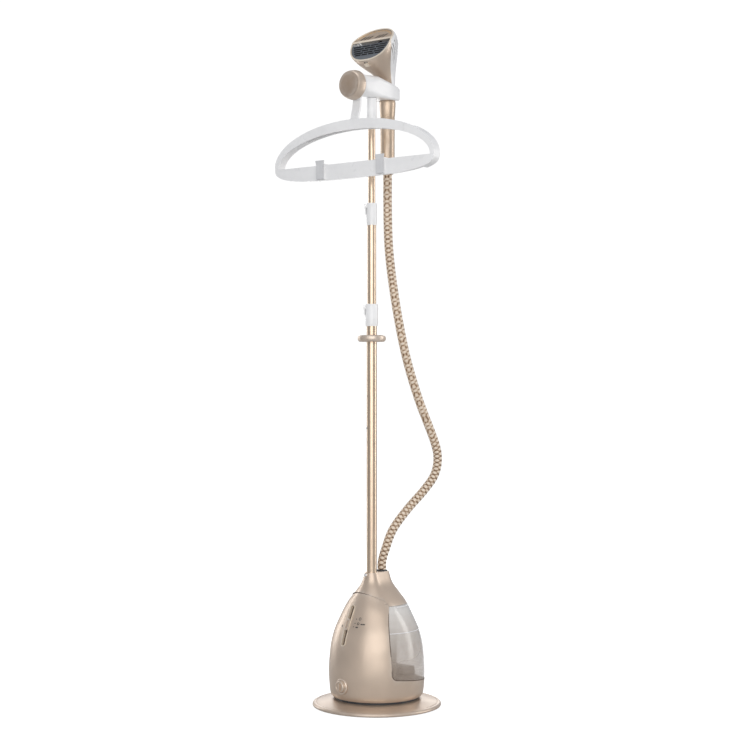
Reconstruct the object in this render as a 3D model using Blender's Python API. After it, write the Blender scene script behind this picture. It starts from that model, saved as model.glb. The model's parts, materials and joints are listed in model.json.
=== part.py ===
"""Upright garment steamer, modelled at full size.

A weighted disc carries a bell-shaped boiler housing with a slide-out water tank. Behind the
front cover stand the boiler and its pipes. A three-section telescopic pole rises from the neck
to a dock arm, which holds a clothes hanger with two clips, a lock knob and the steam head. The
steam hose runs from the neck up into the hollow handle.

Metres, +Z up, front towards -Y, origin on the floor under the axis of the housing.
"""

import math

import bmesh
import bpy
from mathutils import Matrix, Vector

# ---- driving dimensions ----

GAP = 0.0003  # left between pieces that touch
SIDES = 16  # faces round a turned piece
HOUSING_SIDES = 36
FRONT_TURN = math.radians(-8)  # the controls face a little to the left of -Y

DISC_RADIUS = 0.160
NECK_TOP = 0.332
WALL = 0.0028
AXIS_OFFSET = 0.020  # pole in front of the centre, hose behind it

# (height, half width) of the housing's side
HOUSING_SIDE = (
    (0.026, 0.1100),
    (0.033, 0.1150),
    (0.055, 0.1178),
    (0.090, 0.1195),
    (0.130, 0.1170),
    (0.165, 0.1120),
    (0.200, 0.1010),
    (0.240, 0.0797),
    (0.262, 0.0643),
    (0.280, 0.0482),
    (0.305, 0.0273),
    (0.332, 0.0170),
)
HOUSING_LEVELS = (0.026, 0.033, 0.050, 0.090, 0.130, 0.160, 0.185, 0.210, 0.235, 0.255, 0.275)
NECK_LEVELS = (0.245, 0.262, 0.280, 0.296, 0.312, 0.332)
NECK_STARTS = 0.200  # the round housing becomes a stadium above this height

TANK_FRONT = -0.0503  # where the tank begins beside the column
TANK_FRONT_TOP = -0.0239  # its front edge leans back towards the top
TANK_LEAN_STARTS = 0.150
TANK_CORNER = 0.014
TANK_TOP = 0.2535
TANK_FLOOR = 0.0762  # height of the sloping tank floor under the axis
FLOOR_SLOPE = -0.107
SEAM_FRONT = 0.284  # where the neck cover meets the housing, at the front
SEAM_BEND = 4.75  # the seam falls away to both sides as a parabola
SEAM_CORNER = 0.055
COLUMN_HALF = 0.050
COLUMN_BACK = 0.028

BOILER_Y = -0.036
BOILER_RADIUS = 0.042
DRAIN_HEIGHT = 0.0605
FILLER_Y = 0.0515

SLOT_TOP, SLOT_BOTTOM = 0.250, 0.166
SLOT_WIDTH = 0.0150
KNOB_LENGTH = 0.030

LOWER_POLE = 0.0127  # outer radii
MID_POLE = 0.0110
UPPER_POLE = 0.0088
POLE_FOOT = 0.2608
POLE_JOINT = 0.667
LOWER_LATCH = (0.942, 0.997)
UPPER_LATCH = (1.1925, 1.247)
LATCH_FACING = math.radians(-62)
BUTTON_FACING = math.radians(-35)
BUTTON_HEIGHT = 0.690

HUB_HEIGHT = 1.5305  # axis of the dock arm's barrel, the knob and the hanger
HANDLE_Y = 0.043
HANDLE_BOTTOM = 1.352
DOCK_TOP = 1.5610
DOCK_BOTTOM = 1.508

HANGER_HALF = 0.252
HANGER_RISE = 0.100
HANGER_MIDDLE = 1.346
HANGER_FRONT = -0.100
HANGER_DEPTH = 0.025
BAR_TOP = 1.341
BAR_BOTTOM = 1.302
BAR_DEPTH = 0.009
ARCH_SEAM = 0.163
CLIP_X = 0.095
JAW_PIVOT = 1.3445

RIDGE = Vector((0.0635, -0.018, 1.651))  # the corner of the head's face, at its ridge
FACE_LOW = Vector((0.0, -0.046, 1.596))
FACE_TOP = Vector((0.0, 0.015, 1.684))
HEAD_NECK = 1.5448
HEAD_SEAM = (74.0, 62.0, 84.0)  # degrees from the front to the white shell: neck, middle, rim

HOSE_RADIUS = 0.0115
HOSE_ROUTE = (
    (0.000, 0.020, 0.3358),
    (0.000, 0.021, 0.3560),
    (0.004, 0.028, 0.3830),
    (0.013, 0.047, 0.4325),
    (0.031, 0.082, 0.4813),
    (0.053, 0.125, 0.5302),
    (0.066, 0.151, 0.5680),
    (0.070, 0.159, 0.6100),
    (0.065, 0.150, 0.6560),
    (0.046, 0.112, 0.7580),
    (0.031, 0.082, 0.8590),
    (0.020, 0.062, 0.9590),
    (0.0105, 0.0488, 1.0590),
    (0.0035, 0.0437, 1.1400),
    (0.0004, 0.0430, 1.2200),
    (0.000, 0.043, 1.3200),
    (0.000, 0.043, 1.4200),
)

# ---- materials ----

GOLD = ("champagne_gold", (0.66, 0.54, 0.43), 0.32, 0.35)
GOLD_METAL = ("gold_tube", (0.72, 0.58, 0.45), 0.22, 0.95)
WHITE = ("white_plastic", (0.86, 0.86, 0.85), 0.30, 0.0)
GREY = ("grey_plastic", (0.45, 0.45, 0.46), 0.45, 0.0)
CHARCOAL = ("charcoal_plastic", (0.05, 0.055, 0.06), 0.45, 0.0)
CLEAR = ("smoked_clear", (0.80, 0.74, 0.68), 0.08, 0.0)
STEEL = ("steel", (0.60, 0.60, 0.60), 0.30, 1.0)
CAST = ("cast_aluminium", (0.55, 0.55, 0.56), 0.50, 0.9)
RUBBER = ("rubber", (0.04, 0.04, 0.04), 0.80, 0.0)
WOVEN = ("woven_hose", (0.62, 0.48, 0.34), 0.60, 0.1)
BOARD = ("circuit_board", (0.05, 0.22, 0.12), 0.60, 0.0)


def material(spec):
    name, colour, roughness, metallic = spec
    found = bpy.data.materials.get(name)
    if found:
        return found
    made = bpy.data.materials.new(name)
    made.use_nodes = True
    shader = made.node_tree.nodes["Principled BSDF"]
    shader.inputs["Base Color"].default_value = (*colour, 1.0)
    shader.inputs["Roughness"].default_value = roughness
    shader.inputs["Metallic"].default_value = metallic
    made.diffuse_color = (*colour, 1.0)
    return made


# ---- modelling helpers ----


def place(bm, name, look=None, origin=(0, 0, 0), frame=None):
    """An object from bm, whose points are given in frame, with its origin moved to origin."""
    bmesh.ops.recalc_face_normals(bm, faces=bm.faces)
    if bm.calc_volume(signed=True) < 0:
        bmesh.ops.reverse_faces(bm, faces=bm.faces)
    bmesh.ops.translate(bm, vec=-Vector(origin), verts=bm.verts)
    mesh = bpy.data.meshes.new(name)
    bm.to_mesh(mesh)
    bm.free()
    mesh.shade_smooth()
    mesh.set_sharp_from_angle(angle=math.radians(35))
    obj = bpy.data.objects.new(name, mesh)
    bpy.context.scene.collection.objects.link(obj)
    obj.location = origin
    obj.parent = frame
    if look:
        mesh.materials.append(material(look))
    else:
        obj.hide_render = True
        obj.display_type = "WIRE"
    return obj


def boolean(obj, operation, *others, solver="EXACT"):
    for other in others:
        step = obj.modifiers.new(f"{operation.lower()} {other.name}", "BOOLEAN")
        step.operation = operation
        step.object = other
        step.solver = solver
    return obj


def turned(profile, base=(0, 0, 0), along=(0, 0, 1), sides=SIDES):
    """(radius, height) points turned round the axis from base along a direction.

    A profile that starts and ends on the axis is an open line, and any other is a closed loop.
    """
    bm = bmesh.new()
    verts = [bm.verts.new((radius, 0, height)) for radius, height in profile]
    solid = profile[0][0] == 0 and profile[-1][0] == 0
    pairs = list(zip(verts, verts[1:])) + ([] if solid else [(verts[-1], verts[0])])
    edges = [bm.edges.new(pair) for pair in pairs]
    bmesh.ops.spin(
        bm,
        geom=verts + edges,
        cent=(0, 0, 0),
        axis=(0, 0, 1),
        angle=2 * math.pi,
        steps=sides,
        use_merge=True,
    )
    bmesh.ops.remove_doubles(bm, verts=bm.verts, dist=1e-6)
    turn = Vector((0, 0, 1)).rotation_difference(Vector(along)).to_matrix().to_4x4()
    bmesh.ops.transform(bm, matrix=Matrix.Translation(base) @ turn, verts=bm.verts)
    return bm


def lofted(rings, around=False):
    """Faces between rings of points. The ends are capped, or joined to each other."""
    bm = bmesh.new()
    loops = [[bm.verts.new(point) for point in ring] for ring in rings]
    count = len(loops[0])
    following = loops[1:] + (loops[:1] if around else [])
    for ring, other in zip(loops, following):
        for i in range(count):
            j = (i + 1) % count
            bm.faces.new((ring[i], ring[j], other[j], other[i]))
    if not around:
        bm.faces.new(loops[0])
        bm.faces.new(loops[-1])
    return bm


def extruded(outline, start, end, place_point):
    """A prism on a flat outline: place_point(a, b, depth) gives each point."""
    return lofted([[place_point(a, b, depth) for a, b in outline] for depth in (start, end)])


def upright(a, b, depth):
    return (a, b, depth)


def facing_front(a, b, depth):
    return (a, depth, b)


def facing_side(a, b, depth):
    return (depth, a, b)


def box(low, high):
    bm = bmesh.new()
    bmesh.ops.create_cube(bm, size=1.0)
    size = Vector(high) - Vector(low)
    centre = (Vector(high) + Vector(low)) / 2
    bmesh.ops.scale(bm, vec=size, verts=bm.verts)
    bmesh.ops.translate(bm, vec=centre, verts=bm.verts)
    return bm


def merged(*parts):
    """Several closed shapes in one mesh, for a cutter."""
    whole = bmesh.new()
    for part in parts:
        mesh = bpy.data.meshes.new("part")
        part.to_mesh(mesh)
        part.free()
        whole.from_mesh(mesh)
        bpy.data.meshes.remove(mesh)
    return whole


def rounded_box(low, high, radius):
    bm = box(low, high)
    bmesh.ops.bevel(
        bm, geom=bm.edges[:], offset=radius, segments=2, profile=0.5, affect="EDGES"
    )
    return bm


def rounded_rectangle(half_a, half_b, radius, steps=4):
    points = []
    for corner in range(4):
        sign_a = (1, -1, -1, 1)[corner]
        sign_b = (1, 1, -1, -1)[corner]
        for step in range(steps + 1):
            angle = (corner + step / steps) * math.pi / 2
            a = sign_a * (half_a - radius) + radius * math.cos(angle)
            b = sign_b * (half_b - radius) + radius * math.sin(angle)
            points.append((a, b))
    return points


def smooth_value(knots, x):
    """The value at x of a smooth curve through (x, value) knots."""
    last = len(knots) - 1
    x = min(max(x, knots[0][0]), knots[last][0])
    i = max(k for k in range(last) if knots[k][0] <= x)

    def slope(k):
        before, after = knots[max(k - 1, 0)], knots[min(k + 1, last)]
        return (after[1] - before[1]) / (after[0] - before[0])

    (x0, y0), (x1, y1) = knots[i], knots[i + 1]
    t = (x - x0) / (x1 - x0)
    start, end = slope(i) * (x1 - x0), slope(i + 1) * (x1 - x0)
    bend = (2 * y0 - 2 * y1 + start + end) * t**3 + (3 * y1 - 3 * y0 - 2 * start - end) * t**2
    return bend + start * t + y0


def smooth_route(points, spacing):
    """Points about a spacing apart along a smooth curve through the route's points."""
    route = [Vector(p) for p in points]
    fine = []
    for i in range(len(route) - 1):
        before, after = route[max(i - 1, 0)], route[min(i + 2, len(route) - 1)]
        a, d = route[i], route[i + 1]
        b = a + (d - before) / 6
        c = d - (after - a) / 6
        for step in range(24):
            t = step / 24
            fine.append(
                a * (1 - t) ** 3 + 3 * b * t * (1 - t) ** 2 + 3 * c * t * t * (1 - t) + d * t**3
            )
    fine.append(route[-1])
    length = sum((q - p).length for p, q in zip(fine, fine[1:]))
    count = round(length / spacing)
    kept, travelled = [fine[0]], 0.0
    for p, q in zip(fine, fine[1:]):
        travelled += (q - p).length
        if travelled >= len(kept) * length / count and len(kept) < count:
            kept.append(q)
    return kept + [fine[-1]]


def tube(name, points, radius, look, frame=None):
    curve = bpy.data.curves.new(name, "CURVE")
    curve.dimensions = "3D"
    curve.bevel_depth = radius
    curve.bevel_resolution = 2
    curve.use_fill_caps = True
    spline = curve.splines.new("POLY")
    spline.points.add(len(points) - 1)
    for point, co in zip(spline.points, points):
        point.co = (*co, 1.0)
    curve.materials.append(material(look))
    obj = bpy.data.objects.new(name, curve)
    bpy.context.scene.collection.objects.link(obj)
    obj.parent = frame
    return obj


def direction(angle):
    """The level direction at an angle from the front, positive towards +X."""
    return Vector((math.sin(angle), -math.cos(angle), 0))


# ---- disc under the housing ----


def disc():
    place(turned([(0.128, 0), (0.150, 0), (0.150, 0.004), (0.128, 0.004)], sides=24),
          "foot_ring", RUBBER)
    place(turned([(0.030, 0.0043), (0.1540, 0.0043), (0.1540, 0.0062), (0.118, 0.0064),
                  (0.116, 0.0136), (0.030, 0.0150)], sides=24),
          "ballast_plate", STEEL)
    shell = [
        (0, 0.0202), (0.110, 0.0200), (0.118, 0.0182), (0.135, 0.0138), (0.149, 0.0106),
        (0.1505, 0.0096), (0.1520, 0.0098), (0.1570, 0.0092), (0.1595, 0.0072),
        (DISC_RADIUS, 0.0042), (0.1590, 0.0015), (0.1560, 0.0012), (0.1548, 0.0064),
        (0.134, 0.0108), (0.110, 0.0170), (0, 0.0172),
    ]
    place(turned(shell, sides=HOUSING_SIDES), "base_disc", GOLD)
    floor = [
        (0, 0.0238), (0.1010, 0.0238), (0.1015, 0.0340), (0.1045, 0.0340), (0.1040, 0.0205),
        (0, 0.0205),
    ]
    place(turned(floor, sides=24), "housing_floor", CHARCOAL)


# ---- housing surface ----


def neck_spread(height):
    """How far the front and back halves of the housing's section stand apart from the centre."""
    t = min(max((height - NECK_STARTS) / (NECK_TOP - NECK_STARTS), 0), 1)
    return AXIS_OFFSET * t * t * (3 - 2 * t)


def housing_point(angle, height, inset=0.0):
    radius = smooth_value(HOUSING_SIDE, height) - inset
    across, ahead = math.sin(angle), math.cos(angle)
    spread = neck_spread(height) * max(-1.0, min(1.0, 6 * ahead))
    return (radius * across, -radius * ahead - spread, height)


def housing_ring(height, inset=0.0):
    turn = 2 * math.pi / HOUSING_SIDES
    return [housing_point(turn * i, height, inset) for i in range(HOUSING_SIDES)]


def front_surface(height):
    """Distance of the housing's front from its axis."""
    return smooth_value(HOUSING_SIDE, height) + neck_spread(height)


def seam_height(x):
    """Height of the neck cover's lower edge in front of the tank, across the housing."""
    past = min(max((abs(x) - SEAM_CORNER) / 0.007, 0), 1)
    return SEAM_FRONT - SEAM_BEND * min(abs(x), 0.062) ** 2 - 0.006 * (1 - math.sqrt(1 - past**2))


def seam_prism(name, start, end, shift, other_side, frame):
    """The space in front of the tank between the seam and a height on its other side."""
    side = [0.008 * i for i in range(1, 7)] + [0.0550, 0.0590, 0.0610, 0.0620, 0.2]
    xs = [-x for x in reversed(side)] + [0] + side
    outline = [(x, seam_height(x) + shift) for x in xs]
    outline += [(xs[-1], other_side), (xs[0], other_side)]
    return place(extruded(outline, start, end, facing_front), name, frame=frame)


def tank_outline(inset, top):
    """The tank from the side: its leaning front edge, round lower corner and sloping floor."""
    front, corner = TANK_FRONT + inset, TANK_CORNER - inset / 2
    floor_start = front + corner
    points = [(0.2, floor_height(0.2) + inset)]
    for step in range(5):
        turn = math.radians(22.5 * step)
        points.append((floor_start - corner * math.sin(turn),
                       floor_height(floor_start) + inset + corner * (1 - math.cos(turn))))
    for step in range(5):
        rise = step / 4
        lean = (TANK_FRONT_TOP - TANK_FRONT) * rise**2
        height = TANK_LEAN_STARTS + (TANK_TOP - TANK_LEAN_STARTS) * rise
        points.append((front + lean, min(height, top)))
    if top > TANK_TOP:
        points.append((front + TANK_FRONT_TOP - TANK_FRONT, top))
    return points + [(0.2, top)]


def floor_height(y):
    return TANK_FLOOR + FLOOR_SLOPE * y


def housing(frame):
    """The housing's moulding, open at the back for the tank, and the neck cover on top of it."""
    outer = [housing_ring(h) for h in HOUSING_LEVELS + (0.292,)]
    inner = [housing_ring(h, WALL) for h in reversed(HOUSING_LEVELS + (0.292,))]
    body = place(lofted(outer + inner, around=True), "housing_shell", GOLD)
    above = seam_prism("cut_above_seam", -0.2, TANK_FRONT_TOP + 0.002, -GAP, 0.4, frame)
    window = place(extruded(tank_outline(-GAP, 0.40), -0.2, 0.2, facing_side),
                   "cut_tank_window", frame=frame)
    boss = place(turned([(0, 0.1150), (0.0185, 0.1150), (0.0200, 0.1185), (0.0185, 0.1203),
                         (0, 0.1203)], (0, 0, DRAIN_HEIGHT), (0, -1, 0)),
                 "drain_boss", frame=frame)
    drain = place(turned([(0, 0.09), (0.0150, 0.09), (0.0150, 0.14), (0, 0.14)],
                         (0, 0, DRAIN_HEIGHT), (0, -1, 0)), "cut_drain", frame=frame)
    gland = place(turned([(0, 0.10), (0.0083, 0.10), (0.0083, 0.14), (0, 0.14)],
                         (0, 0, 0.047), (0, 1, 0)), "cut_gland")
    slot = place(arc_strip(SLOT_LENGTH / 2 + GAP, SLOT_WIDTH / 2 + GAP, -0.012, 0.012),
                 "cut_slot", frame=frame)
    boolean(body, "DIFFERENCE", above, window)
    boolean(body, "UNION", boss)
    boolean(body, "DIFFERENCE", drain, gland, slot)
    neck_cover(frame)


def neck_cover(frame):
    outer = [housing_ring(h) for h in NECK_LEVELS]
    inner = [housing_ring(h, WALL) for h in reversed(NECK_LEVELS[:-1] + (NECK_TOP - 0.003,))]
    neck = place(lofted(inner + outer), "neck_cover", GOLD)
    below = seam_prism("cut_below_seam", -0.2, TANK_FRONT_TOP + GAP, GAP, 0.2, frame)
    above_tank = place(box((-0.2, -0.2, 0.2), (0.2, 0.2, TANK_TOP + GAP)), "cut_over_tank",
                       frame=frame)
    pole = place(turned([(0, 0.31), (0.0131, 0.31), (0.0131, 0.35), (0, 0.35)],
                        (0, -AXIS_OFFSET, 0)), "cut_pole")
    hose = place(turned([(0, 0.31), (0.0126, 0.31), (0.0126, 0.35), (0, 0.35)],
                        (0, AXIS_OFFSET, 0)), "cut_hose")
    way = direction(FRONT_TURN)
    centre = Vector((0, -AXIS_OFFSET, 0.3262))
    boss = place(turned([(0, 0.0149), (0.0058, 0.0149), (0.0058, 0.0195), (0.0050, 0.0204),
                         (0, 0.0204)], centre, way, 16), "screw_boss")
    screw = place(turned([(0, 0.010), (0.0021, 0.010), (0.0021, 0.03), (0, 0.03)],
                         centre, way, 16), "cut_screw")
    boolean(neck, "DIFFERENCE", below, above_tank)
    boolean(neck, "UNION", boss)
    boolean(neck, "DIFFERENCE", pole, hose, screw, solver="MANIFOLD")
    head = [(0, 0.0134), (0.0018, 0.0134), (0.0018, 0.0207), (0.0040, 0.0207),
            (0.0040, 0.0218), (0.0028, 0.0230), (0, 0.0232)]
    place(turned(head, centre, way, 16), "neck_screw", STEEL)


# ---- core behind the tank ----


def column_outline(grow, front):
    """The column's plan, from its open front round its two rounded back corners."""
    half, back, radius = COLUMN_HALF + grow, COLUMN_BACK + grow, 0.014 + grow
    points = [(half, front)]
    for start, side in ((0, 1), (90, -1)):
        for step in range(4):
            angle = math.radians(start + 30 * step)
            points.append((side * (half - radius) + radius * math.cos(angle),
                           back - radius + radius * math.sin(angle)))
    return points + [(-half, front)]


def core(frame):
    """The seat floor and the walls that close the housing behind and under the tank."""
    outer = column_outline(0, -0.0555)
    inner = list(reversed(column_outline(-0.0025, -0.0555)))
    walls = place(extruded(outer + inner, 0.060, 0.262, upright), "core_housing", GOLD,
                  frame=frame)
    wings = []
    for side in (-1, 1):
        edge = tank_outline(-GAP, 0.262)[1:-1]
        behind = [(y - 0.0030, z) for y, z in reversed(edge)]
        wings.append(place(extruded(edge + behind, side * 0.0485, side * 0.13, facing_side),
                           f"core_wing_{side + 1}", frame=frame))
    plan = [(0.13, -0.042), (0.13, 0.13), (-0.13, 0.13), (-0.13, -0.042)]
    plan += column_outline(-0.001, -0.042)[::-1]
    bm = extruded(plan, -0.0026, -0.0001, upright)
    for vert in bm.verts:
        vert.co.z += floor_height(vert.co.y)
    floor = place(bm, "core_floor", frame=frame)
    inside = place(lofted([housing_ring(h, WALL + 0.0005) for h in HOUSING_LEVELS[1:]]),
                   "housing_inside")
    port = place(turned([(0, 0), (0.0080, 0), (0.0080, 0.03), (0, 0.03)],
                        (0, 0.010, 0.098), (0, 1, 0), 16), "cut_port", frame=frame)
    boolean(walls, "UNION", floor, *wings)
    boolean(walls, "INTERSECT", inside)
    boolean(walls, "DIFFERENCE", port)


def tank_block(name, look, wall, clearance, frame):
    """The space of the tank, or of its hollow: inside the housing's outline, round the column."""
    block = place(lofted([housing_ring(h, 0.0002 + wall) for h in HOUSING_LEVELS[2:] + (0.285,)]),
                  name, look)
    outline = tank_outline(GAP + wall, TANK_TOP - GAP - wall)
    space = place(extruded(outline, -0.2, 0.2, facing_side), name + "_space", frame=frame)
    column = place(extruded(column_outline(clearance + wall, -0.2), 0, 0.4, upright),
                   name + "_column", frame=frame)
    boolean(block, "INTERSECT", space)
    boolean(block, "DIFFERENCE", column)
    return block


def tank(frame):
    shell = tank_block("tank_shell", CLEAR, 0, 0.0006, frame)
    hollow = tank_block("tank_hollow", None, 0.0022, 0.0006, frame)
    filler = place(
        turned([(0, 0.240), (0.0115, 0.240), (0.0115, 0.2518), (0.0145, 0.2518),
                (0.0145, 0.27), (0, 0.27)], (0, FILLER_Y, 0)), "cut_filler", frame=frame)
    spout = place(turned([(0, 0.0165), (0.0070, 0.0165), (0.0070, 0.0295), (0, 0.0295)],
                         (0, 0, 0.098), (0, 1, 0), 16), "spout", frame=frame)
    bore = place(turned([(0, 0.012), (0.0050, 0.012), (0.0050, 0.045), (0, 0.045)],
                        (0, 0, 0.098), (0, 1, 0), 16), "cut_spout", frame=frame)
    boolean(shell, "DIFFERENCE", hollow)
    boolean(shell, "UNION", spout)
    boolean(shell, "DIFFERENCE", filler, bore)
    cap = [(0, 0.2511), (0.0112, 0.2511), (0.0112, 0.2521), (0.0142, 0.2521),
           (0.0142, 0.2530), (0, 0.2530)]
    place(turned(cap, (0, FILLER_Y, 0)), "filler_cap", WHITE,
          origin=(0, FILLER_Y, TANK_TOP), frame=frame)
    poppet = [(0, 0.0162), (0.0030, 0.0162), (0.0030, 0.0260), (0.0047, 0.0270),
              (0.0047, 0.0290), (0, 0.0290)]
    place(turned(poppet, (0, 0, 0.098), (0, 1, 0), 16), "outlet_poppet", WHITE,
          origin=(0, 0.015, 0.098), frame=frame)
    corners = ((-0.042, 0.050), (0.042, 0.050), (0.042, 0.096), (-0.042, 0.096))
    low = [(x, y, floor_height(y) + 0.0032) for x, y in corners]
    high = [(x * 0.94, 0.073 + (y - 0.073) * 0.94, floor_height(y) + 0.024) for x, y in corners]
    bm = lofted([low, high])
    bmesh.ops.bevel(bm, geom=bm.edges[:], offset=0.003, segments=1, affect="EDGES")
    place(bm, "scale_filter", GREY, frame=frame)


# ---- boiler, pipes and controls ----


def boiler(frame):
    base = (0, BOILER_Y, 0)
    cup = [(0, 0.0320), (0.0340, 0.0320), (0.0340, 0.0241), (0.0370, 0.0241),
           (0.0385, 0.0325), (BOILER_RADIUS, 0.0345), (BOILER_RADIUS, 0.1040),
           (0.0460, 0.1040), (0.0460, 0.1075), (0.0385, 0.1075), (0.0385, 0.0360),
           (0, 0.0360)]
    place(turned(cup, base), "boiler_body", CAST, frame=frame)
    cover = [(0, 0.1078), (0.0460, 0.1078), (0.0460, 0.1110), (0.0400, 0.1125),
             (0.0300, 0.1220), (0.0120, 0.1270), (0.0080, 0.1285), (0.0080, 0.1400),
             (0, 0.1400)]
    place(turned(cover, base), "boiler_cover", CAST, frame=frame)
    loop = []
    for step in range(21):
        angle = math.radians(30 + 300 * step / 20)
        loop.append((0.024 * math.sin(angle), BOILER_Y - 0.024 * math.cos(angle), 0.046))
    tube("heating_element", loop, 0.0040, STEEL, frame)
    place(turned([(0, 0), (0.0110, 0), (0.0110, 0.006), (0.0070, 0.010), (0, 0.010)],
                 (-0.0335, BOILER_Y - 0.0275, 0.075), (-0.77, -0.64, 0), 16),
          "thermostat", STEEL, frame=frame)
    place(turned([(0.0040, 0), (0.0055, 0), (0.0055, 0.0092), (0.0040, 0.0092)],
                 (0, BOILER_Y + BOILER_RADIUS + 0.0005, 0.098), (0, 1, 0), 16),
          "feed_pipe", RUBBER, frame=frame)
    place(turned([(0.0055, 0.0788), (0.0080, 0.0788), (0.0080, 0.1095), (0.0055, 0.1095)],
                 (0, 0, DRAIN_HEIGHT), (0, -1, 0), 16),
          "drain_pipe", STEEL, frame=frame)
    knob = [(0, 0.1000), (0.0050, 0.1000), (0.0050, 0.1100), (0.0146, 0.1100),
            (0.0146, 0.1240), (0.0138, 0.1262), (0.0110, 0.1268), (0.0100, 0.1255),
            (0, 0.1255)]
    knob = place(turned(knob, (0, 0, DRAIN_HEIGHT), (0, -1, 0)), "drain_knob", GOLD,
                 origin=(0, -0.118, DRAIN_HEIGHT), frame=frame)
    grip = place(rounded_box((-0.0022, -0.1285, DRAIN_HEIGHT - 0.0105),
                             (0.0022, -0.1240, DRAIN_HEIGHT + 0.0105), 0.001),
                 "drain_grip", frame=frame)
    boolean(knob, "UNION", grip)
    pipe = [(0, BOILER_Y, 0.1406), (0, BOILER_Y, 0.165), (-0.001, -0.022, 0.200),
            (-0.0024, 0.008, 0.240), (-0.0028, 0.0198, 0.268), (-0.0028, 0.0198, 0.2955)]
    tube("steam_pipe", smooth_route(pipe, 0.016), 0.0055, RUBBER, frame)
    place(box((-0.024, -0.0600, 0.160), (0.024, -0.0584, 0.235)), "control_board", BOARD,
          frame=frame)
    gland = [(0.0045, 0.108), (0.0080, 0.108), (0.0080, 0.1186), (0.0108, 0.1190),
             (0.0108, 0.1215), (0.0072, 0.1300), (0.0045, 0.1300)]
    place(turned(gland, (0, 0, 0.047), (0, 1, 0), 16), "cord_gland", CHARCOAL)


# ---- slider in the front of the housing ----


def slot_arc():
    """Centre (y, z) and radius of the arc that the front surface follows behind the slot."""
    heights = (SLOT_BOTTOM, (SLOT_TOP + SLOT_BOTTOM) / 2, SLOT_TOP)
    (ay, az), (by, bz), (cy, cz) = [(-front_surface(h), h) for h in heights]
    scale = 2 * (ay * (bz - cz) + by * (cz - az) + cy * (az - bz))
    a, b, c = ay * ay + az * az, by * by + bz * bz, cy * cy + cz * cz
    y = (a * (bz - cz) + b * (cz - az) + c * (az - bz)) / scale
    z = (a * (cy - by) + b * (ay - cy) + c * (by - ay)) / scale
    return y, z, math.hypot(by - y, bz - z), math.atan2(bz - z, y - by)


ARC_Y, ARC_Z, ARC_RADIUS, ARC_MIDDLE = slot_arc()
SLOT_LENGTH = math.hypot(front_surface(SLOT_TOP) - front_surface(SLOT_BOTTOM),
                         SLOT_TOP - SLOT_BOTTOM) + SLOT_WIDTH


def on_arc(along, across, out):
    """A point up the slot's centre line, to the side of it and proud of the surface."""
    angle = ARC_MIDDLE + along / ARC_RADIUS
    radius = ARC_RADIUS + out
    return (across, ARC_Y - radius * math.cos(angle), ARC_Z + radius * math.sin(angle))


def arc_strip(half_length, half_width, low, high, middle=0.0):
    """A stadium-shaped plate bent to the slot's arc."""
    straight = half_length - half_width
    rings = []
    for step in range(-9, 10):
        if abs(step) <= 4:
            along, half = straight * step / 4, half_width
        else:
            turn = math.radians((abs(step) - 4) * 16)
            along = math.copysign(straight + half_width * math.sin(turn), step)
            half = half_width * math.cos(turn)
        along += middle
        rings.append([on_arc(along, -half, low), on_arc(along, half, low),
                      on_arc(along, half, high), on_arc(along, -half, high)])
    return lofted(rings)


def slider(frame):
    half_length, half_width = SLOT_LENGTH / 2, SLOT_WIDTH / 2
    bezel = place(arc_strip(half_length, half_width, -0.0075, 0.0012), "slider_bezel", GOLD,
                  frame=frame)
    opening = place(arc_strip(half_length - 0.002, half_width - 0.002, -0.0050, 0.01),
                    "cut_bezel", frame=frame)
    boolean(bezel, "DIFFERENCE", opening)
    place(arc_strip(KNOB_LENGTH / 2, half_width - 0.0024, -0.0047, 0.0032, 0.002),
          "slider_knob", GOLD, origin=(0, ARC_Y, ARC_Z), frame=frame)


# ---- neck sockets and pole ----


def neck_sockets():
    place(turned([(0, 0.2575), (0.0155, 0.2575), (0.0155, 0.3160), (0.0131, 0.3160),
                  (0.0131, 0.2605), (0, 0.2605)], (0, -AXIS_OFFSET, 0)),
          "pole_socket", CHARCOAL)
    place(turned([(0.0080, 0.2958), (0.0123, 0.2958), (0.0123, 0.3323), (0.0138, 0.3323),
                  (0.0138, 0.3343), (0.0080, 0.3343)], (0, AXIS_OFFSET, 0)),
          "hose_socket", CHARCOAL)


def lower_poles():
    base = (0, -AXIS_OFFSET, 0)
    radius = LOWER_POLE
    profile = [(radius - 0.0013, POLE_FOOT), (radius, POLE_FOOT),
               (radius, POLE_JOINT - GAP), (radius - 0.0014, POLE_JOINT - GAP),
               (radius - 0.0014, 0.715), (radius - 0.0024, 0.715),
               (radius - 0.0024, 0.664), (radius - 0.0013, 0.660)]
    lower = place(turned(profile, base), "lower_pole", GOLD_METAL)
    upper = place(turned([(radius - 0.0011, POLE_JOINT), (radius, POLE_JOINT),
                          (radius, 0.9600), (radius - 0.0011, 0.9600)], base),
                  "lower_pole_extension", GOLD_METAL)
    way = direction(BUTTON_FACING)
    centre = Vector((0, -AXIS_OFFSET, BUTTON_HEIGHT))
    hole = place(turned([(0, 0.004), (0.0033, 0.004), (0.0033, 0.02), (0, 0.02)],
                        centre, way, 14), "cut_button")
    boolean(lower, "DIFFERENCE", hole)
    boolean(upper, "DIFFERENCE", hole)
    place(turned([(0, 0.0070), (0.0030, 0.0070), (0.0030, 0.0135), (0.0020, 0.0142),
                  (0, 0.0144)], centre, way, 14),
          "pole_button", STEEL, origin=tuple(centre + way * 0.0127))
    ring = [(0.0130, 0.9040), (0.0200, 0.9036), (0.0265, 0.9055), (0.0310, 0.9035),
            (0.0345, 0.9070), (0.0355, 0.9120), (0.0340, 0.9172), (0.0305, 0.9195),
            (0.0265, 0.9175), (0.0200, 0.9190), (0.0160, 0.9205), (0.0130, 0.9205)]
    place(turned(ring, base, sides=24), "collar_ring", GOLD)


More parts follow.
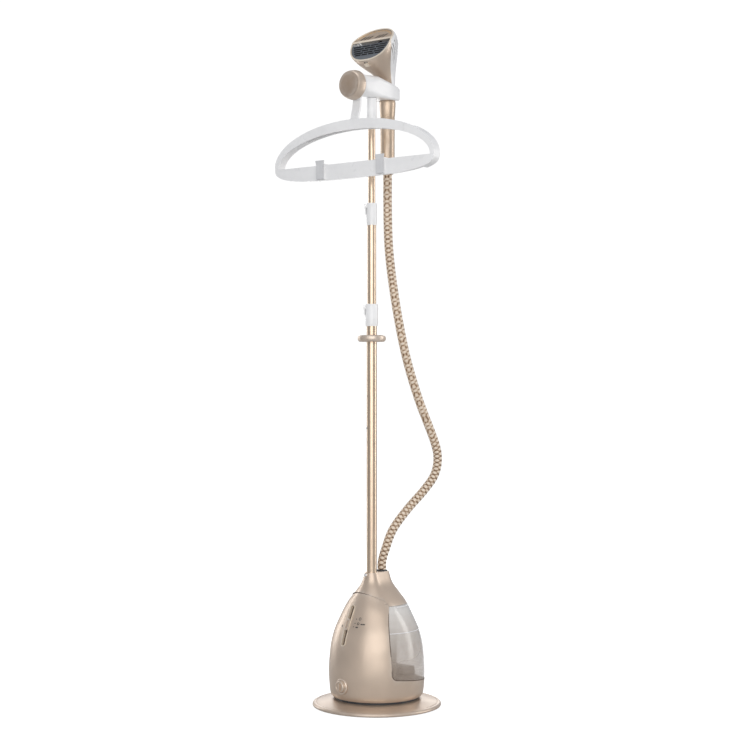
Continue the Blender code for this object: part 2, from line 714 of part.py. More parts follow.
def latch_point(radial, lateral, height, facing):
    way = direction(facing)
    side = Vector((-way.y, way.x, 0))
    return Vector((0, -AXIS_OFFSET, height)) + way * radial + side * lateral


def latch(name, span, outer, lower_bore, upper_bore, step_height):
    """A clamp round the end of one tube, with a lever on a pin, and its flat spine opposite."""
    low, high = span
    base = (0, -AXIS_OFFSET, 0)
    profile = [(lower_bore, low), (outer - 0.0010, low), (outer, low + 0.006),
               (outer, high - 0.002), (outer - 0.0010, high), (upper_bore, high),
               (upper_bore, step_height), (lower_bore, step_height)]
    body = place(turned(profile, base), name + "_body", WHITE)
    pin_at, pin_height = outer + 0.0014, high - 0.0070

    def solid(radials, laterals, heights):
        rings = []
        for lateral in laterals:
            rings.append([latch_point(r, lateral, h, LATCH_FACING)
                          for r, h in ((radials[0], heights[0]), (radials[1], heights[0]),
                                       (radials[1], heights[1]), (radials[0], heights[1]))])
        return lofted(rings)

    ears = [
        place(solid((outer - 0.0035, outer + 0.0040), laterals,
                    (high - 0.0115, high - 0.0025)), f"{name}_ear_{i}")
        for i, laterals in enumerate(((-0.0088, -0.0065), (0.0065, 0.0088)))
    ]
    side = latch_point(0, 1, 0, LATCH_FACING) - latch_point(0, 0, 0, LATCH_FACING)
    centre = latch_point(pin_at, 0, pin_height, LATCH_FACING)
    pocket = place(turned([(0, -0.0064), (0.0042, -0.0064), (0.0042, 0.0064), (0, 0.0064)],
                          centre, side, 16), name + "_pocket")
    bore = place(turned([(0, -0.0120), (0.0018, -0.0120), (0.0018, 0.0120), (0, 0.0120)],
                        centre, side, 12), name + "_bore")
    boolean(body, "UNION", *ears)
    boolean(body, "DIFFERENCE", pocket, bore)
    place(turned([(0, -0.0095), (0.0015, -0.0095), (0.0015, 0.0095), (0, 0.0095)],
                 centre, side, 12), name + "_pin", STEEL)
    eye = turned([(0.0018, -0.0060), (0.0037, -0.0060), (0.0037, 0.0060), (0.0018, 0.0060)],
                 centre, side, 16)
    lever = place(eye, name + "_lever", WHITE, origin=tuple(centre))
    blade = place(solid((outer + 0.0006, outer + 0.0036), (-0.0060, 0.0060),
                        (high - 0.0280, pin_height - 0.0022)), name + "_blade")
    boolean(lever, "UNION", blade)


def upper_poles():
    base = (0, -AXIS_OFFSET, 0)
    place(turned([(MID_POLE - 0.0010, 0.9250), (MID_POLE, 0.9250), (MID_POLE, 1.2050),
                  (MID_POLE - 0.0010, 1.2050)], base), "mid_pole", GOLD_METAL)
    place(turned([(0, 0.9190), (0.0112, 0.9190), (0.0112, 0.9247), (0, 0.9247)], base),
          "mid_pole_foot", CHARCOAL)
    place(turned([(UPPER_POLE - 0.0010, 1.1900), (UPPER_POLE, 1.1900), (UPPER_POLE, 1.5030),
                  (UPPER_POLE - 0.0010, 1.5030)], base), "upper_pole", GOLD_METAL)
    place(turned([(0, 1.1840), (0.0096, 1.1840), (0.0096, 1.1897), (0, 1.1897)], base),
          "upper_pole_foot", CHARCOAL)
    latch("lower_latch", LOWER_LATCH, 0.0158, LOWER_POLE + GAP, MID_POLE + GAP, 0.9603)
    latch("upper_latch", UPPER_LATCH, 0.0132, MID_POLE + GAP, UPPER_POLE + GAP, 1.2053)
    place(turned([(UPPER_POLE + GAP, 1.4400), (0.0120, 1.4400), (0.01225, 1.4420),
                  (0.01225, DOCK_BOTTOM - 0.0012), (UPPER_POLE + GAP, DOCK_BOTTOM - 0.0012)], base),
          "dock_socket", WHITE)


# ---- dock arm, knob and hanger ----


def dock_section(y, half_width, bottom, top, radius):
    centre = (bottom + top) / 2
    outline = rounded_rectangle(half_width, (top - bottom) / 2, radius, 3)
    return [(a, y, centre + b) for a, b in outline]


def dock_arm():
    """A barrel at the front that widens to a fork, open at the back, for the handle."""
    sections = [
        (-0.0680, 0.0235, 1.507, 1.5605, 0.0230),
        (-0.0450, 0.0235, 1.507, 1.5615, 0.0220),
        (-0.0180, 0.0250, DOCK_BOTTOM, DOCK_TOP, 0.0120),
        (0.0150, 0.0278, DOCK_BOTTOM, 1.5515, 0.0070),
        (0.0500, 0.0282, DOCK_BOTTOM, 1.543, 0.0050),
        (0.0590, 0.0262, DOCK_BOTTOM + 0.001, 1.540, 0.0050),
        (0.0605, 0.0240, DOCK_BOTTOM + 0.003, 1.538, 0.0050),
    ]
    bm = lofted([dock_section(*section) for section in sections])
    arm = place(bm, "dock_arm", WHITE)
    cradle = place(turned([(0, 1.49), (0.0212, 1.49), (0.0212, 1.57), (0, 1.57)],
                          (0, HANDLE_Y, 0)), "cut_cradle")
    mouth = place(box((-0.0185, HANDLE_Y, 1.49), (0.0185, 0.08, 1.57)), "cut_mouth")
    stud = place(turned([(0, 0.060), (0.0100, 0.060), (0.0100, 0.0840), (0, 0.0840)],
                        (0, 0, HUB_HEIGHT), (0, -1, 0)), "hub_stud")
    pole = place(turned([(0, 1.49), (UPPER_POLE + GAP, 1.49), (UPPER_POLE + GAP, 1.5035),
                         (0, 1.5035)], (0, -AXIS_OFFSET, 0)), "cut_dock_pole")
    boolean(arm, "DIFFERENCE", cradle, mouth)
    boolean(arm, "UNION", stud)
    boolean(arm, "DIFFERENCE", pole)
    front = (0, 0, HUB_HEIGHT)
    knob = [(0, 0.0852), (0.0350, 0.0852), (0.0365, 0.0870), (0.0362, 0.0930),
            (0.0340, 0.1030), (0.0322, 0.1075), (0.0312, 0.1085), (0, 0.1085)]
    place(turned(knob, front, (0, -1, 0), 24), "lock_knob", GOLD, origin=(0, -0.095, HUB_HEIGHT))
    face = [(0, 0.1088), (0.0300, 0.1088), (0.0298, 0.1096), (0.0200, 0.1108), (0, 0.1114)]
    place(turned(face, front, (0, -1, 0), 24), "lock_knob_face", GOLD,
          origin=(0, -0.109, HUB_HEIGHT))


def arch_outer(x):
    return HANGER_MIDDLE + HANGER_RISE * math.sqrt(max(0.0, 1 - (x / HANGER_HALF) ** 2))


def arch_inner(x):
    half = HANGER_HALF - 0.0115
    rise = 1.4215 - BAR_TOP
    return BAR_TOP + rise * math.sqrt(max(0.0, 1 - (x / half) ** 2))


def hanger_arch():
    """The hanger's middle arch, with the strap and the hub that hang it on the dock arm."""
    limit = ARCH_SEAM - GAP
    xs = [limit * (-1 + i / 8) for i in range(17)]
    outline = [(x, arch_outer(x)) for x in xs] + [(x, arch_inner(x)) for x in reversed(xs)]
    bm = extruded(outline, HANGER_FRONT, HANGER_FRONT + HANGER_DEPTH, facing_front)
    soften(bm, 0.004)
    arch = place(bm, "hanger_arch", WHITE, origin=(0, -0.076, HUB_HEIGHT))
    groove_outline = [(x, arch_outer(x) - 0.0045) for x in xs[1:-1]]
    groove_outline += [(x, arch_inner(x) - 0.003) for x in reversed(xs[1:-1])]
    groove = place(extruded(groove_outline, HANGER_FRONT + 0.0045,
                            HANGER_FRONT + HANGER_DEPTH - 0.0045, facing_front), "cut_groove")
    hub = [(0.0105, 0.0690), (0.0235, 0.0690), (0.0235, 0.0805), (0.0350, 0.0815),
           (0.0355, 0.0846), (0.0105, 0.0846)]
    hub = place(turned(hub, (0, 0, HUB_HEIGHT), (0, -1, 0), 24), "hanger_hub")
    strap_line = ((1.5150, -0.0760, 0.0105), (1.4950, -0.0760, 0.0115), (1.4750, -0.0785, 0.0120),
                  (1.4600, -0.0830, 0.0120), (1.4400, -0.0870, 0.0125))
    rings = []
    for height, y, half in strap_line:
        rings.append([(-half, y - 0.003, height), (half, y - 0.003, height),
                      (half, y + 0.003, height), (-half, y + 0.003, height)])
    strap = place(lofted(rings), "hanger_strap")
    boolean(arch, "DIFFERENCE", groove)
    boolean(arch, "UNION", hub, strap)
    bore = place(turned([(0, 0.06), (0.0104, 0.06), (0.0104, 0.09), (0, 0.09)],
                        (0, 0, HUB_HEIGHT), (0, -1, 0)), "cut_hub")
    boolean(arch, "DIFFERENCE", bore)


def soften(bm, width):
    """Round the long edges that run along the outline of a front-facing prism."""
    edges = [e for e in bm.edges if abs(e.verts[0].co.y - e.verts[1].co.y) < 1e-6
             and e.calc_face_angle(0) > 1.0]
    bmesh.ops.bevel(bm, geom=edges, offset=width, segments=2, profile=0.5, affect="EDGES")


def hanger_loop():
    """The two side curves and the bar between them, in one piece."""
    start = ARCH_SEAM + GAP
    ends = [start + (HANGER_HALF - start) * math.sin(math.radians(a)) for a in range(0, 91, 15)]
    upper = [(x, arch_outer(x)) for x in ends]
    lower = []
    for step in range(1, 8):
        angle = math.radians(90 * step / 7)
        x = HANGER_HALF * math.cos(angle) ** (2 / 3.3)
        z = HANGER_MIDDLE - (HANGER_MIDDLE - BAR_BOTTOM) * math.sin(angle) ** (2 / 3.3)
        lower.append((x, z))
    right = upper + lower[:-1]
    inner_half = HANGER_HALF - 0.0115
    xs = [start + (inner_half - start) * math.sin(math.radians(a)) for a in range(0, 91, 15)]
    inner = [(x, arch_inner(x)) for x in xs]
    left = [(-x, z) for x, z in reversed(right)]
    outline = right + [(0, BAR_BOTTOM)] + left
    outline += [(-x, z) for x, z in inner] + [(x, z) for x, z in reversed(inner)]
    bm = extruded(outline, HANGER_FRONT, HANGER_FRONT + HANGER_DEPTH, facing_front)
    soften(bm, 0.003)
    loop = place(bm, "hanger_loop", WHITE, origin=(0, -0.076, HUB_HEIGHT))
    back = place(box((-0.215, HANGER_FRONT + BAR_DEPTH, 1.29), (0.215, -0.06, BAR_TOP + 0.006)),
                 "cut_bar_back")
    boolean(loop, "DIFFERENCE", back)


def clip(side, x):
    """A saddle that slides on the hanger's bar, and a sprung jaw in front of it, pivoted above."""
    front, back = HANGER_FRONT - GAP, HANGER_FRONT + BAR_DEPTH + GAP
    saddle = [(front - 0.0030, 1.3060), (front, 1.3060), (front, BAR_TOP + GAP),
              (back, BAR_TOP + GAP), (back, 1.3120), (back + 0.0028, 1.3120),
              (back + 0.0028, BAR_TOP + 0.0030), (front - 0.0030, BAR_TOP + 0.0030)]
    origin = (x, -0.0955, BAR_TOP)
    place(extruded(saddle, x - 0.0100, x + 0.0100, facing_side), f"clip_base_{side}", WHITE,
          origin=origin)
    near = front - 0.0034
    jaw = [(near, 1.3050), (near, 1.3130), (near - 0.0018, 1.3180), (near - 0.0018, 1.3340),
           (near, 1.3370), (near - 0.0022, 1.3385), (near - 0.0022, 1.3520), (near - 0.0050, 1.3520),
           (near - 0.0046, 1.3400), (near - 0.0050, 1.3250), (near - 0.0040, 1.3060)]
    rings = []
    for lateral in (-1, 1):
        widths = [0.0110 + 0.25 * max(0.0, z - 1.340) for _, z in jaw]
        rings.append([(x + lateral * wide, y, z) for wide, (y, z) in zip(widths, jaw)])
    place(lofted(rings), f"clip_jaw_{side}", WHITE, origin=(x, near - 0.0020, JAW_PIVOT))


# ---- steam head and handle ----


def face_outline(angle, inset=0.0):
    """A point of the head's face at an angle from its lowest point; its ridge is at 90 degrees."""
    across = math.sin(angle)
    if math.cos(angle) >= 0:
        low = FACE_LOW - Vector((0, RIDGE.y, RIDGE.z))
        reach = abs(math.cos(angle)) ** 0.80
        x = RIDGE.x * math.copysign(abs(across) ** 0.86, across)
        point = Vector((x, RIDGE.y, RIDGE.z)) + low * reach
    else:
        high = FACE_TOP - Vector((0, RIDGE.y, RIDGE.z))
        point = Vector((RIDGE.x * across, RIDGE.y, RIDGE.z)) - high * math.cos(angle)
    if inset:
        middle = Vector((0, RIDGE.y, RIDGE.z))
        point -= (point - middle).normalized() * inset
    return point


def head_point(angle, t, inset=0.0):
    """A point of the head's skin: t runs from the neck ring to the edge of the face."""
    radius = 0.0188
    start = Vector((radius * math.sin(angle), HANDLE_Y - radius * math.cos(angle), HEAD_NECK))
    end = face_outline(angle)
    back = (1 - math.cos(angle)) / 2
    rise = start + Vector((0, 0, 0.022 + 0.050 * back))
    lead = end + Vector((0, 0.013 + 0.034 * back, -0.020 + 0.014 * back))
    u = 1 - t
    point = start * u**3 + 3 * rise * u * u * t + 3 * lead * u * t * t + end * t**3
    if inset:
        centre = Vector((0, HANDLE_Y + (RIDGE.y - HANDLE_Y) * t, point.z + (RIDGE.z - point.z) * t**3))
        point += (centre - point).normalized() * inset
    return point


def head_seam(t):
    """Degrees from the front to the seam between the two shells, at t along the skin."""
    neck, middle, rim = HEAD_SEAM
    along = 2 * t - 1
    return middle + (rim - neck) / 2 * along + ((rim + neck) / 2 - middle) * along**2


def head_shell(name, look, back):
    """The gold part of the head's skin, or the white part behind it, with a real wall."""
    steps, levels = 12, 7
    rings = []
    for level in range(levels + 1):
        t = level / levels
        seam, gap = head_seam(t), 0.9 - 0.6 * t
        first, last = (seam + gap, 360 - seam - gap) if back else (gap - seam, seam - gap)
        angles = [math.radians(first + (last - first) * i / steps) for i in range(steps + 1)]
        outer = [head_point(a, t) for a in angles]
        inner = [head_point(a, t, 0.0022) for a in reversed(angles)]
        rings.append(outer + inner)
    return place(lofted(rings), name, look, origin=(0, HANDLE_Y, HEAD_NECK))


def plate_frame(high):
    """Origin, across and up vectors of one of the face's two planes, and its outward normal."""
    origin = Vector((0, RIDGE.y, RIDGE.z))
    up = ((FACE_TOP if high else FACE_LOW) - origin).normalized()
    across = Vector((1, 0, 0))
    out = across.cross(up) if high else up.cross(across)
    return origin, across, up, out


def face_plate(name, look, high, inset, front, back):
    """A flat plate in one plane of the face, inset from its outline."""
    origin, across, up, out = plate_frame(high)
    angles = range(97, 264, 9) if high else range(-83, 84, 8)
    outline = []
    for degrees in angles:
        point = face_outline(math.radians(degrees), inset) - origin
        height = max(point.dot(up), 0.0032)
        outline.append((point.x, height))

    def on_plane(a, b, depth):
        return origin + across * a + up * b + out * depth

    plate = place(extruded(outline, back, front, on_plane), name, look,
                  origin=(0, HANDLE_Y, HEAD_NECK))
    return plate, on_plane


def slots_in(on_plane, places, name):
    cuts = []
    for a, b, half_a, half_b, lean in places:
        corners = ((-half_a, -half_b), (half_a, -half_b), (half_a, half_b), (-half_a, half_b))
        outline = [(a + x + lean * y, b + y) for x, y in corners]
        cuts.append(extruded(outline, -0.010, 0.004, on_plane))
    return place(merged(*cuts), name)


def head_vent(degrees, first, last):
    """The cutter of a slot that runs along the skin at one angle from the front."""
    rings = []
    for i in range(6):
        t = first + (last - first) * i / 5
        low, high = math.radians(degrees - 1.4), math.radians(degrees + 1.4)
        rings.append([head_point(low, t, -0.003), head_point(high, t, -0.003),
                      head_point(high, t, 0.005), head_point(low, t, 0.005)])
    return lofted(rings)


def head():
    head_shell("head_front_shell", GOLD, back=False)
    white = head_shell("head_back_shell", WHITE, back=True)
    vents = []
    for i in range(5):
        vents += [head_vent(side * (76 + 7.5 * i), 0.44 + 0.06 * i, 0.90) for side in (-1, 1)]
    boolean(white, "DIFFERENCE", place(merged(*vents), "cut_vents"))
    rings = []
    for i in range(40):
        angle = 2 * math.pi * i / 40
        edge, inner = face_outline(angle), face_outline(angle, 0.0034)
        lift = Vector((0, -0.0016, 0.0016))
        base = Vector((0, -0.0004, 0.0006))
        rings.append([edge + base, edge + lift, inner + lift, inner + base])
    frame = place(lofted(rings, around=True), "face_frame", GOLD,
                  origin=(0, HANDLE_Y, HEAD_NECK))
    middle = Vector((0, RIDGE.y, RIDGE.z))
    bar_ring = []
    for raised in (0.0006, 0.0018):
        ring = []
        for high in (False, True):
            origin, _, up, out = plate_frame(high)
            ring.append(origin + up * 0.0029 + out * raised)
        ring.insert(1, middle + Vector((0, -0.9, 0.9)) * raised)
        bar_ring += ring if raised < 0.001 else ring[::-1]
    half = RIDGE.x - 0.0015
    bar = place(lofted([[p + Vector((side * half, 0, 0)) for p in bar_ring]
                        for side in (-1, 1)]), "ridge_bar")
    boolean(frame, "UNION", bar)
    steam, on_steam = face_plate("steam_plate", GOLD_METAL, True, 0.0040, 0.0002, -0.0018)
    grille, on_grille = face_plate("intake_grille", CHARCOAL, False, 0.0040, 0.0002, -0.0018)
    holes = [(x, 0.0150, 0.0018, 0.0055, 0.6) for x in (-0.036, -0.025, -0.014, 0.010, 0.021,
                                                        0.032)]
    boolean(steam, "DIFFERENCE", slots_in(on_steam, holes, "cut_steam_slots"))
    rows = []
    for row, (height, half) in enumerate(((0.0085, 0.050), (0.0150, 0.048), (0.0215, 0.0455),
                                          (0.0280, 0.0425), (0.0345, 0.038), (0.0405, 0.032))):
        count = 4 if row % 2 else 3
        pitch = 2 * half / count
        for i in range(count):
            rows.append((-half + pitch * (i + 0.5), height, pitch / 2 - 0.0012, 0.0023, 0))
    boolean(grille, "DIFFERENCE", slots_in(on_grille, rows, "cut_grille_slots"))
    steam_tube()
    latch_tab()


def steam_tube():
    points = [(0, HANDLE_Y, 1.548), (0, HANDLE_Y, 1.575), (0, 0.038, 1.600), (0, 0.026, 1.630),
              (0, 0.012, 1.652)]
    tube("head_steam_pipe", smooth_route(points, 0.013), 0.0060, RUBBER)


def latch_tab():
    """The push tab under the face, set in a notch of the gold shell."""
    t = 0.86
    centre = head_point(0.0, t)
    along = (head_point(0.0, t + 0.02) - head_point(0.0, t - 0.02)).normalized()
    across = Vector((1, 0, 0))
    out = across.cross(along).normalized()
    if out.y > 0:
        out = -out

    def on_tab(a, b, depth):
        return centre + across * a + along * b + out * depth

    outline = rounded_rectangle(0.0060, 0.0052, 0.002, 2)
    notch_outline = rounded_rectangle(0.0064, 0.0070, 0.002, 2)
    notch = place(extruded([(a, b + 0.0014) for a, b in notch_outline], -0.008, 0.008, on_tab),
                  "cut_tab")
    boolean(bpy.data.objects["head_front_shell"], "DIFFERENCE", notch)
    place(extruded(outline, -0.0022, 0.0024, on_tab), "head_release_tab", GOLD,
          origin=tuple(centre))


def handle():
    base = (0, HANDLE_Y, 0)
    outer = [(0.0172, HANDLE_BOTTOM), (0.0178, 1.358), (0.0182, 1.4660), (0.0177, 1.4675),
             (0.0177, 1.4690), (0.0184, 1.4705), (0.0204, 1.5020), (0.0200, 1.5055),
             (0.0192, 1.5080), (0.0188, HEAD_NECK - GAP)]
    inner = [(0.0128, HEAD_NECK - GAP), (0.0128, 1.4700), (0.0145, 1.4600),
             (0.0145, HANDLE_BOTTOM)]
    place(turned(outer + inner, base), "handle_grip", GOLD, origin=(0, HANDLE_Y, HEAD_NECK))
    cuff = [(0.0132, 1.3250), (0.0146, 1.3250), (0.0158, 1.3300), (0.0166, HANDLE_BOTTOM - GAP),
            (0.0132, HANDLE_BOTTOM - GAP)]
    place(turned(cuff, base), "hose_cuff", GOLD, origin=(0, HANDLE_Y, HEAD_NECK))


def clear_scene():
    for obj in list(bpy.data.objects):
        bpy.data.objects.remove(obj, do_unlink=True)


def front_frame():
    """An empty turned to the direction that the controls face."""
    frame = bpy.data.objects.new("front_frame", None)
    bpy.context.scene.collection.objects.link(frame)
    frame.rotation_euler.z = FRONT_TURN
    return frame


def main():
    clear_scene()
    frame = front_frame()
    disc()
    housing(frame)
    core(frame)
    tank(frame)
    boiler(frame)
    slider(frame)
    neck_sockets()
    lower_poles()
    upper_poles()
    dock_arm()
    hanger_arch()
    hanger_loop()
    clip("left", -CLIP_X)
    clip("right", CLIP_X)
    head()
    handle()
    tube("steam_hose", smooth_route(HOSE_ROUTE, 0.030), HOSE_RADIUS, WOVEN)


main()
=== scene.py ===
"""Looks for the upright garment steamer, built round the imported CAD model.

The visible moulded pieces are made again here at a finer resolution, on the same driving
dimensions as the solids they stand for, and each rides on the body of its solid.
"""

import math

import bmesh
import bpy
from mathutils import Matrix, Vector
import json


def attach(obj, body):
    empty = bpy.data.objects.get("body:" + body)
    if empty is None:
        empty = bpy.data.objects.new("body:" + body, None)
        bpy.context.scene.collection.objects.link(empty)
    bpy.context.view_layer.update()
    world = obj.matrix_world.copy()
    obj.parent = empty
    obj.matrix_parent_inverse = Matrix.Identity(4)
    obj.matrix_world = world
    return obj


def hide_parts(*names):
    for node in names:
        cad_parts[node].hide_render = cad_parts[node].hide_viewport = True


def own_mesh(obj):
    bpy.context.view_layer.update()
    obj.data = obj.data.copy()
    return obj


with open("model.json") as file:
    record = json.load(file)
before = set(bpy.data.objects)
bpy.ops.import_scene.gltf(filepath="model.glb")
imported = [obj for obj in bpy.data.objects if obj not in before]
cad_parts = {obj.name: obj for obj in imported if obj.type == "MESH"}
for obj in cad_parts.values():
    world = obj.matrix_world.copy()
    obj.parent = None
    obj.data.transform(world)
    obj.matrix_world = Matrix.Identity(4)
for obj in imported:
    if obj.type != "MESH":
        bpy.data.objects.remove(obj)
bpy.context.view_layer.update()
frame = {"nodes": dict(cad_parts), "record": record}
RECORD = frame["record"]
BODY_OF = {n: body for body, nodes in RECORD["behaviour"]["bodies"].items() for n in nodes}
SLOT_OF = {entry["node"]: entry["material_slot"] for entry in RECORD["subparts"]}
GAP = 0.0003
SIDES = 16
DETAIL = 4  # turned pieces here have this many times the sides of their solids
HOUSING_SIDES = 120
FRONT_TURN = math.radians(-8)
FORWARD, BACKWARD = (0, -1, 0), (0, 1, 0)
THROUGH = 0.2  # half the length of a cutter that goes right through the housing

NECK_TOP = 0.332
WALL = 0.0028
AXIS_OFFSET = 0.020  # pole in front of the centre, hose behind it

# (height, half width) of the housing's side
HOUSING_SIDE = (
    (0.026, 0.1100),
    (0.033, 0.1150),
    (0.055, 0.1178),
    (0.090, 0.1195),
    (0.130, 0.1170),
    (0.165, 0.1120),
    (0.200, 0.1010),
    (0.240, 0.0797),
    (0.262, 0.0643),
    (0.280, 0.0482),
    (0.305, 0.0273),
    (0.332, 0.0170),
)
HOUSING_LEVELS = (0.026, 0.027, 0.029, 0.032, 0.037) + tuple(0.045 + 0.010 * i for i in range(24))
NECK_LEVELS = tuple(0.245 + 0.0055 * i for i in range(16)) + (NECK_TOP - 0.0012, NECK_TOP)
NECK_STARTS = 0.200  # the round housing becomes a stadium above this height

TANK_FRONT = -0.0503  # where the tank begins beside the column
TANK_FRONT_TOP = -0.0239  # its front edge leans back towards the top
TANK_LEAN_STARTS = 0.150
TANK_CORNER = 0.014
TANK_TOP = 0.2535
TANK_FLOOR = 0.0762  # height of the sloping tank floor under the axis
FLOOR_SLOPE = -0.107
SEAM_FRONT = 0.284  # where the neck cover meets the housing, at the front
SEAM_BEND = 4.75  # the seam falls away to both sides as a parabola
SEAM_CORNER = 0.055
COLUMN_HALF = 0.050
COLUMN_BACK = 0.028
COLUMN_CLEARANCE = 0.0006
TANK_WALL = 0.0022

DRAIN_AXIS = (0, 0, 0.0605)
OUTLET_AXIS = (0, 0, 0.098)
FILLER_Y = 0.0515

SLOT_TOP, SLOT_BOTTOM = 0.250, 0.166
SLOT_WIDTH = 0.0150
KNOB_LENGTH = 0.030
KNOB_RISE = 0.002  # along the slot from its middle, at rest

LOWER_POLE = 0.0127  # outer radii
MID_POLE = 0.0110
UPPER_POLE = 0.0088
POLE_BASE = (0, -AXIS_OFFSET, 0)
POLE_FOOT = 0.2608
POLE_JOINT = 0.667
LOWER_LATCH = (0.942, 0.997)
UPPER_LATCH = (1.1925, 1.247)
LATCH_FACING = math.radians(-62)
BUTTON_FACING = math.radians(-35)
BUTTON_HEIGHT = 0.690

HUB_AXIS = (0, 0, 1.5305)  # of the dock arm's barrel, the knob and the hanger
HANDLE_BASE = (0, 0.043, 0)
HANDLE_Y = HANDLE_BASE[1]
HANDLE_BOTTOM = 1.352
DOCK_TOP = 1.5610
DOCK_BOTTOM = 1.508

HANGER_HALF = 0.252
HANGER_RISE = 0.100
HANGER_MIDDLE = 1.346
HANGER_FRONT = -0.100
HANGER_DEPTH = 0.025
BAR_TOP = 1.341
BAR_BOTTOM = 1.302
BAR_DEPTH = 0.009
ARCH_SEAM = 0.163
CLIP_X = 0.095
CLIP_HALF = 0.0100

RIDGE = Vector((0.0635, -0.018, 1.651))  # the corner of the head's face, at its ridge
FACE_LOW = Vector((0.0, -0.046, 1.596))
FACE_TOP = Vector((0.0, 0.015, 1.684))
HEAD_NECK = 1.5448
HEAD_SEAM = (74.0, 62.0, 84.0)  # degrees from the front to the white shell: neck, middle, rim
STEAM_SLOTS = (-0.036, -0.025, -0.014, 0.010, 0.021, 0.032)
STEAM_SLOT_HEIGHT = 0.0150
STEAM_SLOT_LEAN = 0.9
# height and half width of each row of grille slots
GRILLE_ROWS = (
    (0.0085, 0.0565),
    (0.0150, 0.0550),
    (0.0215, 0.0530),
    (0.0280, 0.0500),
    (0.0345, 0.0465),
    (0.0405, 0.0415),
)

HOSE_RADIUS = 0.0115
HOSE_ROUTE = (
    (0.000, 0.020, 0.3358),
    (0.000, 0.021, 0.3560),
    (0.004, 0.028, 0.3830),
    (0.013, 0.047, 0.4325),
    (0.031, 0.082, 0.4813),
    (0.053, 0.125, 0.5302),
    (0.066, 0.151, 0.5680),
    (0.070, 0.159, 0.6100),
    (0.065, 0.150, 0.6560),
    (0.046, 0.112, 0.7580),
    (0.031, 0.082, 0.8590),
    (0.020, 0.062, 0.9590),
    (0.0105, 0.0488, 1.0590),
    (0.0035, 0.0437, 1.1400),
    (0.0004, 0.0430, 1.2200),
    (0.000, 0.043, 1.3200),
    (0.000, 0.043, 1.4200),
)


# ---- camera, light and floor ----

CAMERA_AZIMUTH = math.radians(39)
CAMERA_DISTANCE = 4.0
CAMERA_HEIGHT = 0.821
CAMERA_SIDE = -0.0045
CAMERA_LENS = 77.1
SENSOR_WIDTH = 36
WORLD_COLOUR = (0.93, 0.95, 1.0)
WORLD_LIGHT = 0.46
BACKDROP_LIGHT = 1.05
FLOOR_COLOUR = (0.55, 0.55, 0.55)
FLOOR_GLOW = 0.82
FLOOR_RADIUS = 30.0
FLOOR_DROP = 0.0002  # below the disc's foot
AIM_HEIGHT = 0.80  # what the softboxes point at, on the axis
# name, azimuth, distance, height, (width, height), watts, colour
SOFTBOXES = (
    ("key_softbox", 36, 3.4, 1.4, (3.6, 2.6), 60, (1.0, 0.985, 0.96)),
    ("left_rim_softbox", -92, 3.0, 1.1, (0.8, 2.6), 20, (1.0, 0.98, 0.95)),
    ("right_rim_softbox", 131, 3.0, 1.1, (0.9, 2.6), 24, (1.0, 0.98, 0.95)),
    ("back_softbox", 219, 3.4, 1.6, (2.4, 2.2), 26, (1.0, 0.99, 0.97)),
    ("top_softbox", 20, 0.6, 3.6, (2.0, 2.0), 14, (1.0, 1.0, 1.0)),
)


def add_camera(scene):
    lens = bpy.data.cameras.new("camera")
    lens.lens = CAMERA_LENS
    lens.sensor_width = SENSOR_WIDTH
    camera = bpy.data.objects.new("camera", lens)
    scene.collection.objects.link(camera)
    across = Vector((math.cos(CAMERA_AZIMUTH), math.sin(CAMERA_AZIMUTH), 0))
    away = Vector((math.sin(CAMERA_AZIMUTH), -math.cos(CAMERA_AZIMUTH), 0))
    camera.location = away * CAMERA_DISTANCE + across * CAMERA_SIDE
    camera.location.z = CAMERA_HEIGHT
    camera.rotation_euler = (math.pi / 2, 0, CAMERA_AZIMUTH)
    scene.camera = camera


def split_rays(tree, lighting, seen, target):
    """One shader lights the scene, and the other is what the camera sees."""
    rays = tree.nodes.new("ShaderNodeLightPath")
    mix = tree.nodes.new("ShaderNodeMixShader")
    tree.links.new(rays.outputs["Is Camera Ray"], mix.inputs[0])
    tree.links.new(lighting, mix.inputs[1])
    tree.links.new(seen, mix.inputs[2])
    tree.links.new(mix.outputs[0], target)


def add_world(scene):
    world = bpy.data.worlds.new("studio")
    scene.world = world
    world.use_nodes = True
    tree = world.node_tree
    light = tree.nodes["Background"]
    white = tree.nodes.new("ShaderNodeBackground")
    for node, colour, strength in ((light, WORLD_COLOUR, WORLD_LIGHT),
                                   (white, (1, 1, 1), BACKDROP_LIGHT)):
        node.inputs["Color"].default_value = (*colour, 1)
        node.inputs["Strength"].default_value = strength
    output = tree.nodes["World Output"]
    split_rays(tree, light.outputs[0], white.outputs[0], output.inputs["Surface"])


def add_softbox(scene, name, azimuth, distance, height, size, power, colour):
    light = bpy.data.lights.new(name, "AREA")
    light.shape = "RECTANGLE"
    light.size, light.size_y = size
    light.energy = power
    light.color = colour
    lamp = bpy.data.objects.new(name, light)
    scene.collection.objects.link(lamp)
    turn = math.radians(azimuth)
    lamp.location = (distance * math.sin(turn), -distance * math.cos(turn), height)
    aim = Vector((0, 0, AIM_HEIGHT)) - lamp.location
    lamp.rotation_euler = aim.to_track_quat("-Z", "Y").to_euler()


